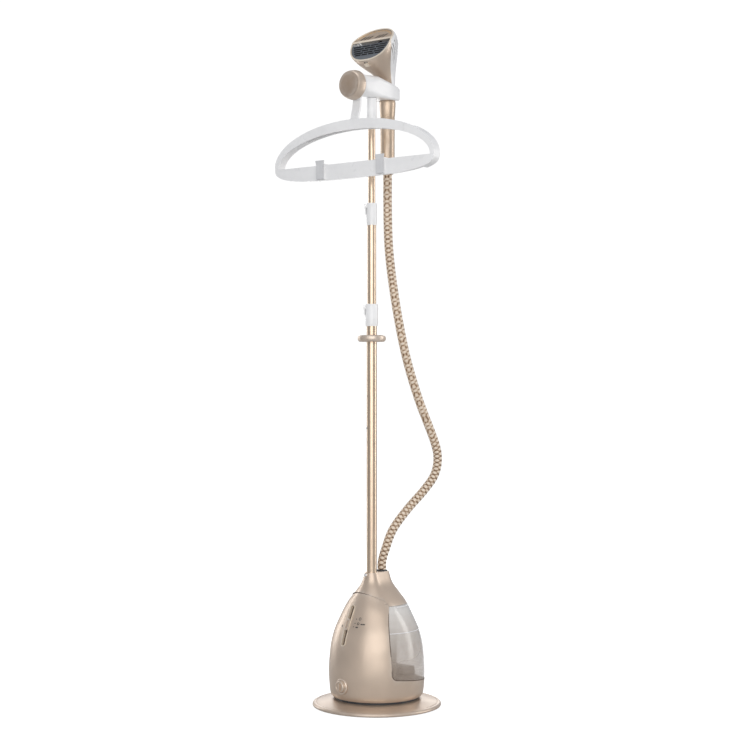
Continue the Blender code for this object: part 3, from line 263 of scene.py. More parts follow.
def add_floor(scene):
    bm = bmesh.new()
    bmesh.ops.create_circle(bm, cap_ends=True, segments=96, radius=FLOOR_RADIUS)
    mesh = bpy.data.meshes.new("floor")
    bm.to_mesh(mesh)
    bm.free()
    floor = bpy.data.objects.new("floor", mesh)
    floor.location.z = -FLOOR_DROP
    scene.collection.objects.link(floor)
    paint = bpy.data.materials.new("floor_paint")
    paint.use_nodes = True
    tree = paint.node_tree
    shader = tree.nodes["Principled BSDF"]
    shader.inputs["Base Color"].default_value = (*FLOOR_COLOUR, 1)
    shader.inputs["Roughness"].default_value = 0.9
    glow = tree.nodes.new("ShaderNodeEmission")
    glow.inputs["Strength"].default_value = FLOOR_GLOW
    both = tree.nodes.new("ShaderNodeAddShader")
    tree.links.new(shader.outputs[0], both.inputs[0])
    tree.links.new(glow.outputs[0], both.inputs[1])
    output = tree.nodes["Material Output"]
    split_rays(tree, shader.outputs[0], both.outputs[0], output.inputs["Surface"])
    mesh.materials.append(paint)


def studio():
    scene = bpy.context.scene
    scene.view_settings.view_transform = "Standard"
    add_camera(scene)
    add_world(scene)
    for softbox in SOFTBOXES:
        add_softbox(scene, *softbox)
    add_floor(scene)


# ---- materials ----

GOLD = "champagne_gold"
GOLD_METAL = "gold_tube"
WHITE = "white_plastic"
GREY = "grey_plastic"
CHARCOAL = "charcoal_plastic"
CLEAR = "smoked_clear"
STEEL = "steel"
CAST = "cast_aluminium"
RUBBER = "rubber"
WOVEN = "woven_hose"
BOARD = "circuit_board"


class Nodes:
    """A material's node tree, with short calls for the nodes that the looks below share."""

    def __init__(self, name):
        self.material = bpy.data.materials.new(name)
        self.material.use_nodes = True
        self.tree = self.material.node_tree
        self.shader = self.tree.nodes["Principled BSDF"]
        coordinates = self.add("ShaderNodeTexCoord")
        self.position = coordinates.outputs["Object"]

    def add(self, kind, **settings):
        node = self.tree.nodes.new(kind)
        for name, value in settings.items():
            setattr(node, name, value)
        return node

    def link(self, source, target):
        self.tree.links.new(source, target)

    def set(self, **values):
        for name, value in values.items():
            self.shader.inputs[name.replace("_", " ")].default_value = value

    def scaled(self, scale):
        mapping = self.add("ShaderNodeMapping")
        mapping.inputs["Scale"].default_value = scale
        self.link(self.position, mapping.inputs["Vector"])
        return mapping.outputs["Vector"]

    def noise(self, scale, detail=3.0, stretch=None, rough=0.5):
        node = self.add("ShaderNodeTexNoise")
        node.inputs["Scale"].default_value = scale
        node.inputs["Detail"].default_value = detail
        node.inputs["Roughness"].default_value = rough
        self.link(self.scaled(stretch) if stretch else self.position, node.inputs["Vector"])
        return node.outputs["Fac"]

    def flecks(self, scale):
        node = self.add("ShaderNodeTexVoronoi")
        node.inputs["Scale"].default_value = scale
        self.link(self.position, node.inputs["Vector"])
        return node.outputs["Color"]

    def ramp(self, source, *stops):
        node = self.add("ShaderNodeValToRGB")
        elements = node.color_ramp.elements
        while len(elements) < len(stops):
            elements.new(0.5)
        for element, (place_at, colour) in zip(elements, stops):
            element.position = place_at
            element.color = (*colour, 1)
        self.link(source, node.inputs["Fac"])
        return node.outputs["Color"]

    def between(self, source, low, high, new_low, new_high):
        node = self.add("ShaderNodeMapRange")
        for name, value in (("From Min", low), ("From Max", high), ("To Min", new_low),
                            ("To Max", new_high)):
            node.inputs[name].default_value = value
        self.link(source, node.inputs["Value"])
        return node.outputs["Result"]

    def clouds(self, scale, detail, new_low, new_high, edge=0.3):
        """Noise spread between two values, with its extremes cut off at an edge."""
        return self.between(self.noise(scale, detail), edge, 1 - edge, new_low, new_high)

    def mixed(self, factor, first, second, blend="MIX"):
        node = self.add("ShaderNodeMix", data_type="RGBA", blend_type=blend)
        for index, value in ((0, factor), (6, first), (7, second)):
            if isinstance(value, bpy.types.NodeSocket):
                self.link(value, node.inputs[index])
            elif index == 0:
                node.inputs[index].default_value = value
            else:
                node.inputs[index].default_value = (*value, 1)
        return node.outputs[2]

    def worn_and_highlit_edges(self, colour, edge, amount=0.35):
        """The colour with its convex edges rubbed towards another, broken up by noise: wear, and a
        painted highlight along the edges.
        """
        geometry = self.add("ShaderNodeNewGeometry")
        sharp = self.between(geometry.outputs["Pointiness"], 0.505, 0.56, 0.0, amount)
        patchy = self.add("ShaderNodeMath", operation="MULTIPLY")
        self.link(sharp, patchy.inputs[0])
        self.link(self.between(self.noise(60), 0.35, 0.65, 0.3, 1.0), patchy.inputs[1])
        return self.mixed(patchy.outputs[0], colour, edge)

    def bump(self, *layers):
        """Bumps one on top of another: each layer is a height, its strength and its depth."""
        normal = None
        for height, strength, distance in layers:
            node = self.add("ShaderNodeBump")
            node.inputs["Strength"].default_value = strength
            node.inputs["Distance"].default_value = distance
            self.link(height, node.inputs["Height"])
            if normal:
                self.link(normal, node.inputs["Normal"])
            normal = node.outputs["Normal"]
        self.link(normal, self.shader.inputs["Normal"])

    def paint(self, colour, roughness):
        self.link(colour, self.shader.inputs["Base Color"])
        self.link(roughness, self.shader.inputs["Roughness"])
        return self.material


def pearl_gold(name, base, metallic, coat=0.35):
    """Satin pearl paint: fine flakes, a faint cloudiness and slightly paler rubbed edges, which
    are also a painted highlight.
    """
    n = Nodes(name)
    deep = tuple(c * 0.90 for c in base)
    light = tuple(min(1.0, c * 1.06) for c in base)
    cloud = n.mixed(n.between(n.noise(9, 2), 0.35, 0.65, 0.0, 1.0), deep, light)
    flakes = n.ramp(n.flecks(2600), (0.0, (0.93, 0.92, 0.90)), (1.0, (1.0, 1.0, 1.0)))
    colour = n.mixed(0.55, cloud, n.mixed(1.0, cloud, flakes, "MULTIPLY"))
    colour = n.worn_and_highlit_edges(colour, (0.93, 0.87, 0.80))
    n.set(Metallic=metallic, Coat_Weight=coat, Coat_Roughness=0.22, IOR=1.5)
    n.bump((n.noise(700, 2), 0.06, 0.0004), (n.noise(5200, 1), 0.05, 0.0002))
    return n.paint(colour, n.clouds(24, 4, 0.36, 0.44))


def brushed_gold():
    """Anodised tube: colour and roughness run in fine streaks along its length."""
    n = Nodes("look_gold_tube")
    streaks = n.noise(1.0, 4, (2600, 2600, 9), 0.6)
    colour = n.ramp(streaks, (0.25, (0.64, 0.49, 0.36)), (0.75, (0.76, 0.60, 0.455)))
    wide = n.clouds(14, 2, 0.0, 1.0)
    colour = n.mixed(0.25, colour, n.mixed(wide, (0.62, 0.49, 0.37), (0.82, 0.69, 0.55)))
    n.set(Metallic=0.92)
    n.bump((streaks, 0.02, 0.0001), (n.noise(1800, 1), 0.02, 0.0001))
    return n.paint(colour, n.between(streaks, 0.3, 0.7, 0.26, 0.32))


def moulded(name, base, edge, rough, grain=900, grain_strength=0.08, coat=0.0):
    """Injection-moulded plastic: a fine spark-eroded grain, slow sink marks and soft wear, with a
    painted highlight on the edges.
    """
    n = Nodes(name)
    dull = tuple(c * 0.94 for c in base)
    colour = n.mixed(n.between(n.noise(16, 3), 0.35, 0.65, 0.0, 1.0), dull, base)
    colour = n.worn_and_highlit_edges(colour, edge)
    n.set(Coat_Weight=coat, Coat_Roughness=0.15)
    n.bump((n.noise(35, 2), 0.05, 0.001), (n.noise(grain, 2), grain_strength, 0.0003))
    return n.paint(colour, n.clouds(40, 4, rough[0], rough[1]))


def smoked_clear():
    """Translucent tank wall, browner and clearer low down and paler and more opaque towards the
    top, with a faint flow pattern in it.
    """
    n = Nodes("look_smoked_clear")
    height = n.add("ShaderNodeSeparateXYZ")
    n.link(n.position, height.inputs[0])
    up = n.between(height.outputs["Z"], 0.10, 0.25, 0.0, 1.0)
    tint = n.mixed(up, (0.50, 0.40, 0.32), (0.90, 0.88, 0.85))
    flow = n.between(n.noise(1.0, 3, (30, 30, 90)), 0.3, 0.7, 0.0, 1.0)
    colour = n.mixed(0.15, tint, n.mixed(flow, (0.58, 0.50, 0.43), (0.88, 0.84, 0.80)))
    n.link(n.between(height.outputs["Z"], 0.10, 0.22, 0.34, 0.72), n.shader.inputs["Alpha"])
    n.set(IOR=1.49, Coat_Weight=0.6, Coat_Roughness=0.05)
    n.bump((flow, 0.08, 0.0006), (n.noise(600, 2), 0.04, 0.0003))
    return n.paint(colour, n.clouds(30, 3, 0.10, 0.22))


def metal(name, low, high, rough, scale=400, strength=0.15, metallic=1.0):
    n = Nodes(name)
    grain = n.noise(scale, 4)
    # paler convex edges: rubbed wear and a painted highlight
    colour = n.worn_and_highlit_edges(n.mixed(grain, low, high), tuple(min(1, c * 1.3) for c in high))
    n.set(Metallic=metallic)
    n.bump((grain, strength, 0.0004))
    return n.paint(colour, n.clouds(60, 3, rough[0], rough[1]))


def woven_hose():
    """The jacket: pale pads between dark brown cords, each with its own threads."""
    n = Nodes("look_woven_hose")
    pattern = n.add("ShaderNodeAttribute", attribute_name="weave").outputs["Fac"]
    colour = n.ramp(pattern, (0.0, (0.10, 0.055, 0.03)), (0.10, (0.26, 0.16, 0.09)),
                    (0.26, (0.66, 0.50, 0.36)), (0.60, (0.88, 0.78, 0.66)))
    threads = n.noise(1.0, 2, (1500, 1500, 420))
    colour = n.mixed(n.between(threads, 0.3, 0.7, 0.0, 0.35), colour,
                     n.mixed(1.0, colour, (0.72, 0.62, 0.52), "MULTIPLY"))
    n.set(Sheen_Weight=0.25, Sheen_Roughness=0.4, Metallic=0.15)
    n.bump((threads, 0.35, 0.0003))
    return n.paint(colour, n.between(threads, 0.3, 0.7, 0.38, 0.62))


def board():
    n = Nodes("look_circuit_board")
    tracks = n.add("ShaderNodeTexBrick")
    tracks.inputs["Scale"].default_value = 60
    tracks.inputs["Color1"].default_value = (0.03, 0.16, 0.08, 1)
    tracks.inputs["Color2"].default_value = (0.04, 0.22, 0.11, 1)
    tracks.inputs["Mortar"].default_value = (0.25, 0.35, 0.15, 1)
    n.link(n.position, tracks.inputs["Vector"])
    n.bump((tracks.outputs["Fac"], 0.2, 0.0003))
    return n.paint(tracks.outputs["Color"], n.clouds(80, 3, 0.35, 0.55))


def make_looks():
    return {
        GOLD: pearl_gold("look_champagne_gold", (0.66, 0.535, 0.43), 0.62),
        "deep_gold": pearl_gold("look_deep_gold", (0.47, 0.355, 0.265), 0.50),
        # a darker copy of the gold for the disc: painted shade, standing for the housing's dark
        # reflection in it
        "disc_gold": pearl_gold("look_disc_gold", (0.58, 0.46, 0.365), 0.60),
        "handle_gold": pearl_gold("look_handle_gold", (0.62, 0.475, 0.345), 0.70),
        "pale_gold": pearl_gold("look_pale_gold", (0.90, 0.78, 0.62), 0.35),
        GOLD_METAL: brushed_gold(),
        WHITE: moulded("look_white_plastic", (0.92, 0.92, 0.925), (0.97, 0.97, 0.97),
                       (0.26, 0.36), coat=0.25),
        # a darker copy of the white plastic, worn by the clip jaws: painted shade
        "shade_white": moulded("look_shade_white", (0.66, 0.665, 0.68), (0.80, 0.80, 0.81),
                               (0.35, 0.48)),
        GREY: moulded("look_grey_plastic", (0.36, 0.33, 0.31), (0.5, 0.48, 0.46), (0.4, 0.55)),
        CHARCOAL: moulded("look_charcoal", (0.035, 0.04, 0.047), (0.12, 0.13, 0.14),
                          (0.38, 0.52), 1400, 0.2),
        "slate": moulded("look_slate", (0.115, 0.13, 0.15), (0.2, 0.21, 0.22), (0.38, 0.50)),
        # black for the head's insides behind its slots: painted shade
        "painted_shade_black": moulded("look_void_black", (0.005, 0.005, 0.006), (0.01, 0.01, 0.01),
                              (0.85, 0.95)),
        # dark brown for the slot's floor and the gaps by the tank and neck: painted shade
        "painted_shade_brown": moulded("look_seam_brown", (0.10, 0.062, 0.042), (0.18, 0.13, 0.10),
                              (0.5, 0.6)),
        "amber": moulded("look_amber", (0.62, 0.36, 0.10), (0.72, 0.50, 0.24), (0.3, 0.4)),
        "black_ink": moulded("look_black_ink", (0.03, 0.028, 0.027), (0.05, 0.05, 0.05),
                             (0.45, 0.6)),
        CLEAR: smoked_clear(),
        STEEL: metal("look_steel", (0.50, 0.50, 0.51), (0.74, 0.74, 0.75), (0.18, 0.32)),
        "chrome": metal("look_chrome", (0.78, 0.78, 0.80), (0.90, 0.90, 0.91), (0.06, 0.14),
                        200, 0.04),
        CAST: metal("look_cast", (0.42, 0.42, 0.43), (0.60, 0.60, 0.61), (0.45, 0.62), 900, 0.6),
        RUBBER: moulded("look_rubber", (0.03, 0.03, 0.03), (0.09, 0.09, 0.09), (0.7, 0.88),
                        1500, 0.35),
        WOVEN: woven_hose(),
        BOARD: board(),
    }


LOOKS = make_looks()
FRONT = Matrix.Rotation(FRONT_TURN, 4, "Z")


# ---- modelling helpers ----

BUILT, HELPERS = {}, []


def place(bm, name, look=None, matrix=None):
    """An object from bm, moved by a matrix. With no look it is a cutter or an addition."""
    bmesh.ops.recalc_face_normals(bm, faces=bm.faces)
    if bm.calc_volume(signed=True) < 0:
        bmesh.ops.reverse_faces(bm, faces=bm.faces)
    if matrix:
        bmesh.ops.transform(bm, matrix=matrix, verts=bm.verts)
    mesh = bpy.data.meshes.new(name)
    bm.to_mesh(mesh)
    bm.free()
    obj = bpy.data.objects.new(name if look is None else name + "_skin", mesh)
    bpy.context.scene.collection.objects.link(obj)
    if look:
        obj["look"] = look
        BUILT[name] = obj
    else:
        HELPERS.append(obj)
    return obj


def boolean(obj, operation, *others, solver="MANIFOLD"):
    """Applies each Boolean at once."""
    for other in others:
        step = obj.modifiers.new(other.name, "BOOLEAN")
        step.operation = operation
        step.object = other
        step.solver = solver
        graph = bpy.context.evaluated_depsgraph_get()
        mesh = bpy.data.meshes.new_from_object(obj.evaluated_get(graph))
        obj.modifiers.clear()
        obj.data = mesh
    return obj


def detail(bm, name, look, body, slot, matrix=None):
    """A small extra piece with no solid of its own, riding on a body."""
    obj = place(bm, name, matrix=matrix)
    HELPERS.remove(obj)
    shade(obj)
    obj.data.materials.append(LOOKS[look])
    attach(obj, body)


def shade(obj, angle=35):
    obj.data.shade_smooth()
    obj.data.set_sharp_from_angle(angle=math.radians(angle))


def dress(name):
    """Gives a finished skin its look, and puts it in the place of its solid."""
    obj = BUILT[name]
    obj.data.materials.clear()
    obj.data.materials.append(LOOKS[obj["look"]])
    shade(obj)
    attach(obj, BODY_OF[name])
    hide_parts(name)


def lofted(rings, around=False):
    """Faces between rings of points. The ends are capped, or joined to each other."""
    bm = bmesh.new()
    loops = [[bm.verts.new(point) for point in ring] for ring in rings]
    count = len(loops[0])
    following = loops[1:] + (loops[:1] if around else [])
    for ring, other in zip(loops, following):
        for i in range(count):
            j = (i + 1) % count
            bm.faces.new((ring[i], ring[j], other[j], other[i]))
    if not around:
        bm.faces.new(loops[0])
        bm.faces.new(loops[-1])
    return bm


def extruded(outline, start, end, place_point):
    """A prism on a flat outline: place_point(a, b, depth) gives each point."""
    return lofted([[place_point(a, b, depth) for a, b in outline] for depth in (start, end)])


def plane(origin, across, up, out):
    """For extruded: a flat outline in a plane, with the depth measured out of it."""
    return lambda a, b, depth: origin + across * a + up * b + out * depth


def upright(a, b, depth):
    return (a, b, depth)


def facing_front(a, b, depth):
    return (a, depth, b)


def facing_side(a, b, depth):
    return (depth, a, b)


def box(low, high):
    bm = bmesh.new()
    bmesh.ops.create_cube(bm, size=1.0)
    size = Vector(high) - Vector(low)
    centre = (Vector(high) + Vector(low)) / 2
    bmesh.ops.scale(bm, vec=size, verts=bm.verts)
    bmesh.ops.translate(bm, vec=centre, verts=bm.verts)
    return bm


def merged(*parts):
    """Several closed shapes in one mesh, for a cutter."""
    whole = bmesh.new()
    for part in parts:
        mesh = bpy.data.meshes.new("part")
        part.to_mesh(mesh)
        part.free()
        whole.from_mesh(mesh)
        bpy.data.meshes.remove(mesh)
    return whole


def turned(profile, base=(0, 0, 0), along=(0, 0, 1), sides=SIDES):
    """(radius, height) points turned round the axis from base along a direction.

    A profile that starts and ends on the axis is an open line, and any other is a closed loop.
    """
    bm = bmesh.new()
    verts = [bm.verts.new((radius, 0, height)) for radius, height in profile]
    solid = profile[0][0] == 0 and profile[-1][0] == 0
    pairs = list(zip(verts, verts[1:])) + ([] if solid else [(verts[-1], verts[0])])
    edges = [bm.edges.new(pair) for pair in pairs]
    bmesh.ops.spin(
        bm,
        geom=verts + edges,
        cent=(0, 0, 0),
        axis=(0, 0, 1),
        angle=2 * math.pi,
        steps=sides * DETAIL,
        use_merge=True,
    )
    bmesh.ops.remove_doubles(bm, verts=bm.verts, dist=1e-6)
    turn = Vector((0, 0, 1)).rotation_difference(Vector(along)).to_matrix().to_4x4()
    bmesh.ops.transform(bm, matrix=Matrix.Translation(base) @ turn, verts=bm.verts)
    return bm


def rod(radius, start, end, bore=0):
    """The profile of a plain round bar between two heights, or of a tube where it has a bore."""
    return [(bore, start), (radius, start), (radius, end), (bore, end)]


def lathe(name, profile, base=(0, 0, 0), along=(0, 0, 1), sides=SIDES, look=None, matrix=None):
    """A turned piece, or a turned cutter where it has no look."""
    return place(turned(profile, base, along, sides), name, look, matrix)


def rounded_box(low, high, radius):
    bm = box(low, high)
    bmesh.ops.bevel(
        bm, geom=bm.edges[:], offset=radius, segments=4, profile=0.5, affect="EDGES"
    )
    return bm


def rounded_rectangle(half_a, half_b, radius, steps=8):
    points = []
    for corner in range(4):
        sign_a = (1, -1, -1, 1)[corner]
        sign_b = (1, 1, -1, -1)[corner]
        for step in range(steps + 1):
            angle = (corner + step / steps) * math.pi / 2
            a = sign_a * (half_a - radius) + radius * math.cos(angle)
            b = sign_b * (half_b - radius) + radius * math.sin(angle)
            points.append((a, b))
    return points


def smooth_value(knots, x):
    """The value at x of a smooth curve through (x, value) knots."""
    last = len(knots) - 1
    x = min(max(x, knots[0][0]), knots[last][0])
    i = max(k for k in range(last) if knots[k][0] <= x)

    def slope(k):
        before, after = knots[max(k - 1, 0)], knots[min(k + 1, last)]
        return (after[1] - before[1]) / (after[0] - before[0])

    (x0, y0), (x1, y1) = knots[i], knots[i + 1]
    t = (x - x0) / (x1 - x0)
    start, end = slope(i) * (x1 - x0), slope(i + 1) * (x1 - x0)
    bend = (2 * y0 - 2 * y1 + start + end) * t**3 + (3 * y1 - 3 * y0 - 2 * start - end) * t**2
    return bend + start * t + y0


def smooth_route(points, spacing):
    """Points about a spacing apart along a smooth curve through the route's points."""
    route = [Vector(p) for p in points]
    fine = []
    for i in range(len(route) - 1):
        before, after = route[max(i - 1, 0)], route[min(i + 2, len(route) - 1)]
        a, d = route[i], route[i + 1]
        b = a + (d - before) / 6
        c = d - (after - a) / 6
        for step in range(24):
            t = step / 24
            fine.append(
                a * (1 - t) ** 3 + 3 * b * t * (1 - t) ** 2 + 3 * c * t * t * (1 - t) + d * t**3
            )
    fine.append(route[-1])
    length = sum((q - p).length for p, q in zip(fine, fine[1:]))
    count = round(length / spacing)
    kept, travelled = [fine[0]], 0.0
    for p, q in zip(fine, fine[1:]):
        travelled += (q - p).length
        if travelled >= len(kept) * length / count and len(kept) < count:
            kept.append(q)
    return kept + [fine[-1]]


def direction(angle):
    """The level direction at an angle from the front, positive towards +X."""
    return Vector((math.sin(angle), -math.cos(angle), 0))


# ---- housing ----


def neck_spread(height):
    """How far the front and back halves of the housing's section stand apart from the centre."""
    t = min(max((height - NECK_STARTS) / (NECK_TOP - NECK_STARTS), 0), 1)
    return AXIS_OFFSET * t * t * (3 - 2 * t)


def housing_point(angle, height, inset=0.0):
    radius = smooth_value(HOUSING_SIDE, height) - inset
    across, ahead = math.sin(angle), math.cos(angle)
    spread = neck_spread(height) * max(-1.0, min(1.0, 6 * ahead))
    return (radius * across, -radius * ahead - spread, height)


def housing_ring(height, inset=0.0):
    turn = 2 * math.pi / HOUSING_SIDES
    return [housing_point(turn * i, height, inset) for i in range(HOUSING_SIDES)]


def front_surface(height):
    """Distance of the housing's front from its axis."""
    return smooth_value(HOUSING_SIDE, height) + neck_spread(height)


def seam_height(x):
    """Height of the neck cover's lower edge in front of the tank, across the housing."""
    past = min(max((abs(x) - SEAM_CORNER) / 0.007, 0), 1)
    return SEAM_FRONT - SEAM_BEND * min(abs(x), 0.062) ** 2 - 0.006 * (1 - math.sqrt(1 - past**2))


def seam_prism(name, start, end, shift, other_side):
    """The space in front of the tank between the seam and a height on its other side."""
    side = [0.004 * i for i in range(1, 14)] + [0.0550 + 0.0007 * i for i in range(11)] + [0.2]
    xs = [-x for x in reversed(side)] + [0] + side
    outline = [(x, seam_height(x) + shift) for x in xs]
    outline += [(xs[-1], other_side), (xs[0], other_side)]
    return place(extruded(outline, start, end, facing_front), name, matrix=FRONT)


def tank_outline(inset, top):
    """The tank from the side: its leaning front edge, round lower corner and sloping floor."""
    front, corner = TANK_FRONT + inset, TANK_CORNER - inset / 2
    floor_start = front + corner
    points = [(0.2, floor_height(0.2) + inset)]
    for step in range(13):
        turn = math.radians(7.5 * step)
        points.append((floor_start - corner * math.sin(turn),
                       floor_height(floor_start) + inset + corner * (1 - math.cos(turn))))
    for step in range(13):
        rise = step / 12
        lean = (TANK_FRONT_TOP - TANK_FRONT) * rise**2
        height = TANK_LEAN_STARTS + (TANK_TOP - TANK_LEAN_STARTS) * rise
        points.append((front + lean, min(height, top)))
    if top > TANK_TOP:
        points.append((front + TANK_FRONT_TOP - TANK_FRONT, top))
    return points + [(0.2, top)]


def floor_height(y):
    return TANK_FLOOR + FLOOR_SLOPE * y


def housing():
    """The housing's moulding, open at the back for the tank, and the neck cover on top of it."""
    levels = HOUSING_LEVELS + (0.292,)
    outer = [housing_ring(h) for h in levels]
    inner = [housing_ring(h, WALL) for h in reversed(levels)]
    body = place(lofted(outer + inner, around=True), "housing_shell", GOLD)
    above = seam_prism("cut_above_seam", -THROUGH, TANK_FRONT_TOP + 0.002, -GAP, 0.4)
    window = place(extruded(tank_outline(-GAP, 0.40), -THROUGH, THROUGH, facing_side),
                   "cut_tank_window", matrix=FRONT)
    rim = [(0, 0.1150), (0.0185, 0.1150), (0.0200, 0.1185), (0.0185, 0.1203), (0, 0.1203)]
    boss = lathe("drain_boss", rim, DRAIN_AXIS, FORWARD, matrix=FRONT)
    drain = lathe("cut_drain", rod(0.0150, 0.09, 0.14), DRAIN_AXIS, FORWARD, matrix=FRONT)
    gland = lathe("cut_gland", rod(0.0083, 0.10, 0.14), (0, 0, 0.047), BACKWARD)
    slot = place(arc_strip(SLOT_LENGTH / 2 + GAP, SLOT_WIDTH / 2 + GAP, -0.012, 0.012),
                 "cut_slot", matrix=FRONT)
    boolean(body, "DIFFERENCE", above, window)
    boolean(body, "UNION", boss)
    boolean(body, "DIFFERENCE", drain, gland, slot)
    neck_cover()


def neck_cover():
    outer = [housing_ring(h) for h in NECK_LEVELS]
    inner = [housing_ring(h, WALL) for h in reversed(NECK_LEVELS[:-1] + (NECK_TOP - 0.003,))]
    neck = place(lofted(inner + outer), "neck_cover", GOLD)
    below = seam_prism("cut_below_seam", -THROUGH, TANK_FRONT_TOP + GAP, GAP, 0.2)
    above_tank = place(box((-THROUGH, -THROUGH, 0.2), (THROUGH, THROUGH, TANK_TOP + GAP)),
                       "cut_over_tank", matrix=FRONT)
    pole = lathe("cut_pole", rod(0.0131, 0.31, 0.35), POLE_BASE)
    hose = lathe("cut_hose", rod(0.0126, 0.31, 0.35), (0, AXIS_OFFSET, 0))
    way = direction(FRONT_TURN)
    centre = Vector((0, -AXIS_OFFSET, 0.3262))
    rim = [(0, 0.0149), (0.0058, 0.0149), (0.0058, 0.0195), (0.0050, 0.0204), (0, 0.0204)]
    boss = lathe("screw_boss", rim, centre, way)
    screw = lathe("cut_screw", rod(0.0021, 0.010, 0.03), centre, way)
    boolean(neck, "DIFFERENCE", below, above_tank)
    boolean(neck, "UNION", boss)
    boolean(neck, "DIFFERENCE", pole, hose, screw)
    head = [(0, 0.0134), (0.0018, 0.0134), (0.0018, 0.0207), (0.0040, 0.0207), (0.0040, 0.0218),
            (0.0034, 0.0226), (0.0020, 0.0229), (0.0016, 0.0222), (0, 0.0222)]
    lathe("neck_screw", head, centre, way, look="chrome")


def column_outline(grow, front):
    """The column's plan, from its open front round its two rounded back corners."""
    half, back, radius = COLUMN_HALF + grow, COLUMN_BACK + grow, 0.014 + grow
    points = [(half, front)]
    for start, side in ((0, 1), (90, -1)):
        for step in range(4):
            angle = math.radians(start + 30 * step)
            points.append((side * (half - radius) + radius * math.cos(angle),
                           back - radius + radius * math.sin(angle)))
    return points + [(-half, front)]


def tank_block(name, look, wall):
    """The space of the tank, or of its hollow: inside the housing's outline, round the column."""
    block = place(lofted([housing_ring(h, 0.0002 + wall) for h in HOUSING_LEVELS[2:] + (0.285,)]),
                  name, look)
    outline = tank_outline(GAP + wall, TANK_TOP - GAP - wall)
    space = place(extruded(outline, -THROUGH, THROUGH, facing_side), name + "_space", matrix=FRONT)
    around_column = column_outline(COLUMN_CLEARANCE + wall, -THROUGH)
    column = place(extruded(around_column, 0, 0.4, upright), name + "_column", matrix=FRONT)
    boolean(block, "INTERSECT", space)
    boolean(block, "DIFFERENCE", column)
    return block


def tank():
    shell = tank_block("tank_shell", CLEAR, 0)
    hollow = tank_block("tank_hollow", None, TANK_WALL)
    cap_axis = (0, FILLER_Y, 0)
    mouth = [(0, 0.240), (0.0115, 0.240), (0.0115, 0.2518), (0.0145, 0.2518), (0.0145, 0.27),
             (0, 0.27)]
    filler = lathe("cut_filler", mouth, cap_axis, matrix=FRONT)
    spout = lathe("spout", rod(0.0070, 0.0165, 0.0295), OUTLET_AXIS, BACKWARD, matrix=FRONT)
    bore = lathe("cut_spout", rod(0.0050, 0.012, 0.045), OUTLET_AXIS, BACKWARD, matrix=FRONT)
    boolean(shell, "DIFFERENCE", hollow)
    boolean(shell, "UNION", spout)
    boolean(shell, "DIFFERENCE", filler, bore)
    cap = [(0, 0.2511), (0.0112, 0.2511), (0.0112, 0.2521), (0.0142, 0.2521),
           (0.0142, 0.2530), (0, 0.2530)]
    lathe("filler_cap", cap, cap_axis, look=WHITE, matrix=FRONT)
    poppet = [(0, 0.0162), (0.0030, 0.0162), (0.0030, 0.0260), (0.0047, 0.0270),
              (0.0047, 0.0290), (0, 0.0290)]
    lathe("outlet_poppet", poppet, OUTLET_AXIS, BACKWARD, look=WHITE, matrix=FRONT)


def slot_arc():
    """Centre (y, z) and radius of the arc that the front surface follows behind the slot."""
    heights = (SLOT_BOTTOM, (SLOT_TOP + SLOT_BOTTOM) / 2, SLOT_TOP)
    (ay, az), (by, bz), (cy, cz) = [(-front_surface(h), h) for h in heights]
    scale = 2 * (ay * (bz - cz) + by * (cz - az) + cy * (az - bz))
    a, b, c = ay * ay + az * az, by * by + bz * bz, cy * cy + cz * cz
    y = (a * (bz - cz) + b * (cz - az) + c * (az - bz)) / scale
    z = (a * (cy - by) + b * (ay - cy) + c * (by - ay)) / scale
    return y, z, math.hypot(by - y, bz - z), math.atan2(bz - z, y - by)


ARC_Y, ARC_Z, ARC_RADIUS, ARC_MIDDLE = slot_arc()
SLOT_LENGTH = math.hypot(front_surface(SLOT_TOP) - front_surface(SLOT_BOTTOM),
                         SLOT_TOP - SLOT_BOTTOM) + SLOT_WIDTH


def on_arc(along, across, out):
    """A point up the slot's centre line, to the side of it and proud of the surface."""
    angle = ARC_MIDDLE + along / ARC_RADIUS
    radius = ARC_RADIUS + out
    return (across, ARC_Y - radius * math.cos(angle), ARC_Z + radius * math.sin(angle))


def arc_strip(half_length, half_width, low, high, middle=0.0):
    """A stadium-shaped plate bent to the slot's arc."""
    straight = half_length - half_width
    rings = []
    for step in range(-24, 25):
        if abs(step) <= 8:
            along, half = straight * step / 8, half_width
        else:
            turn = math.radians((abs(step) - 8) * 5.5)
            along = math.copysign(straight + half_width * math.sin(turn), step)
            half = half_width * math.cos(turn)
        along += middle
        rings.append([on_arc(along, -half, low), on_arc(along, half, low),
                      on_arc(along, half, high), on_arc(along, -half, high)])
    return lofted(rings)


def slider():
    half_length, half_width = SLOT_LENGTH / 2, SLOT_WIDTH / 2
    bezel = place(arc_strip(half_length, half_width, -0.0075, 0.0014), "slider_bezel",
                  "pale_gold", FRONT)
    opening = place(arc_strip(half_length - 0.0017, half_width - 0.0017, -0.0050, 0.01),
                    "cut_bezel", matrix=FRONT)
    boolean(bezel, "DIFFERENCE", opening)
    # a dark sheet on the bezel's gold floor: painted shade in the slot
    floor = arc_strip(half_length - 0.0019, half_width - 0.0019, -0.0053, -0.0049)
    detail(floor, "slider_floor", "painted_shade_brown", "base", GOLD, FRONT)
    knob = place(arc_strip(KNOB_LENGTH / 2, half_width - 0.0024, -0.0047, 0.0032, KNOB_RISE),
                 "slider_knob", GOLD, FRONT)
    dish = place(arc_strip(KNOB_LENGTH / 2 - 0.0050, half_width - 0.0040, 0.0022, 0.01, KNOB_RISE),
                 "cut_knob_dish", matrix=FRONT)
    boolean(knob, "DIFFERENCE", dish)


# ---- disc, drain knob and the small marks ----


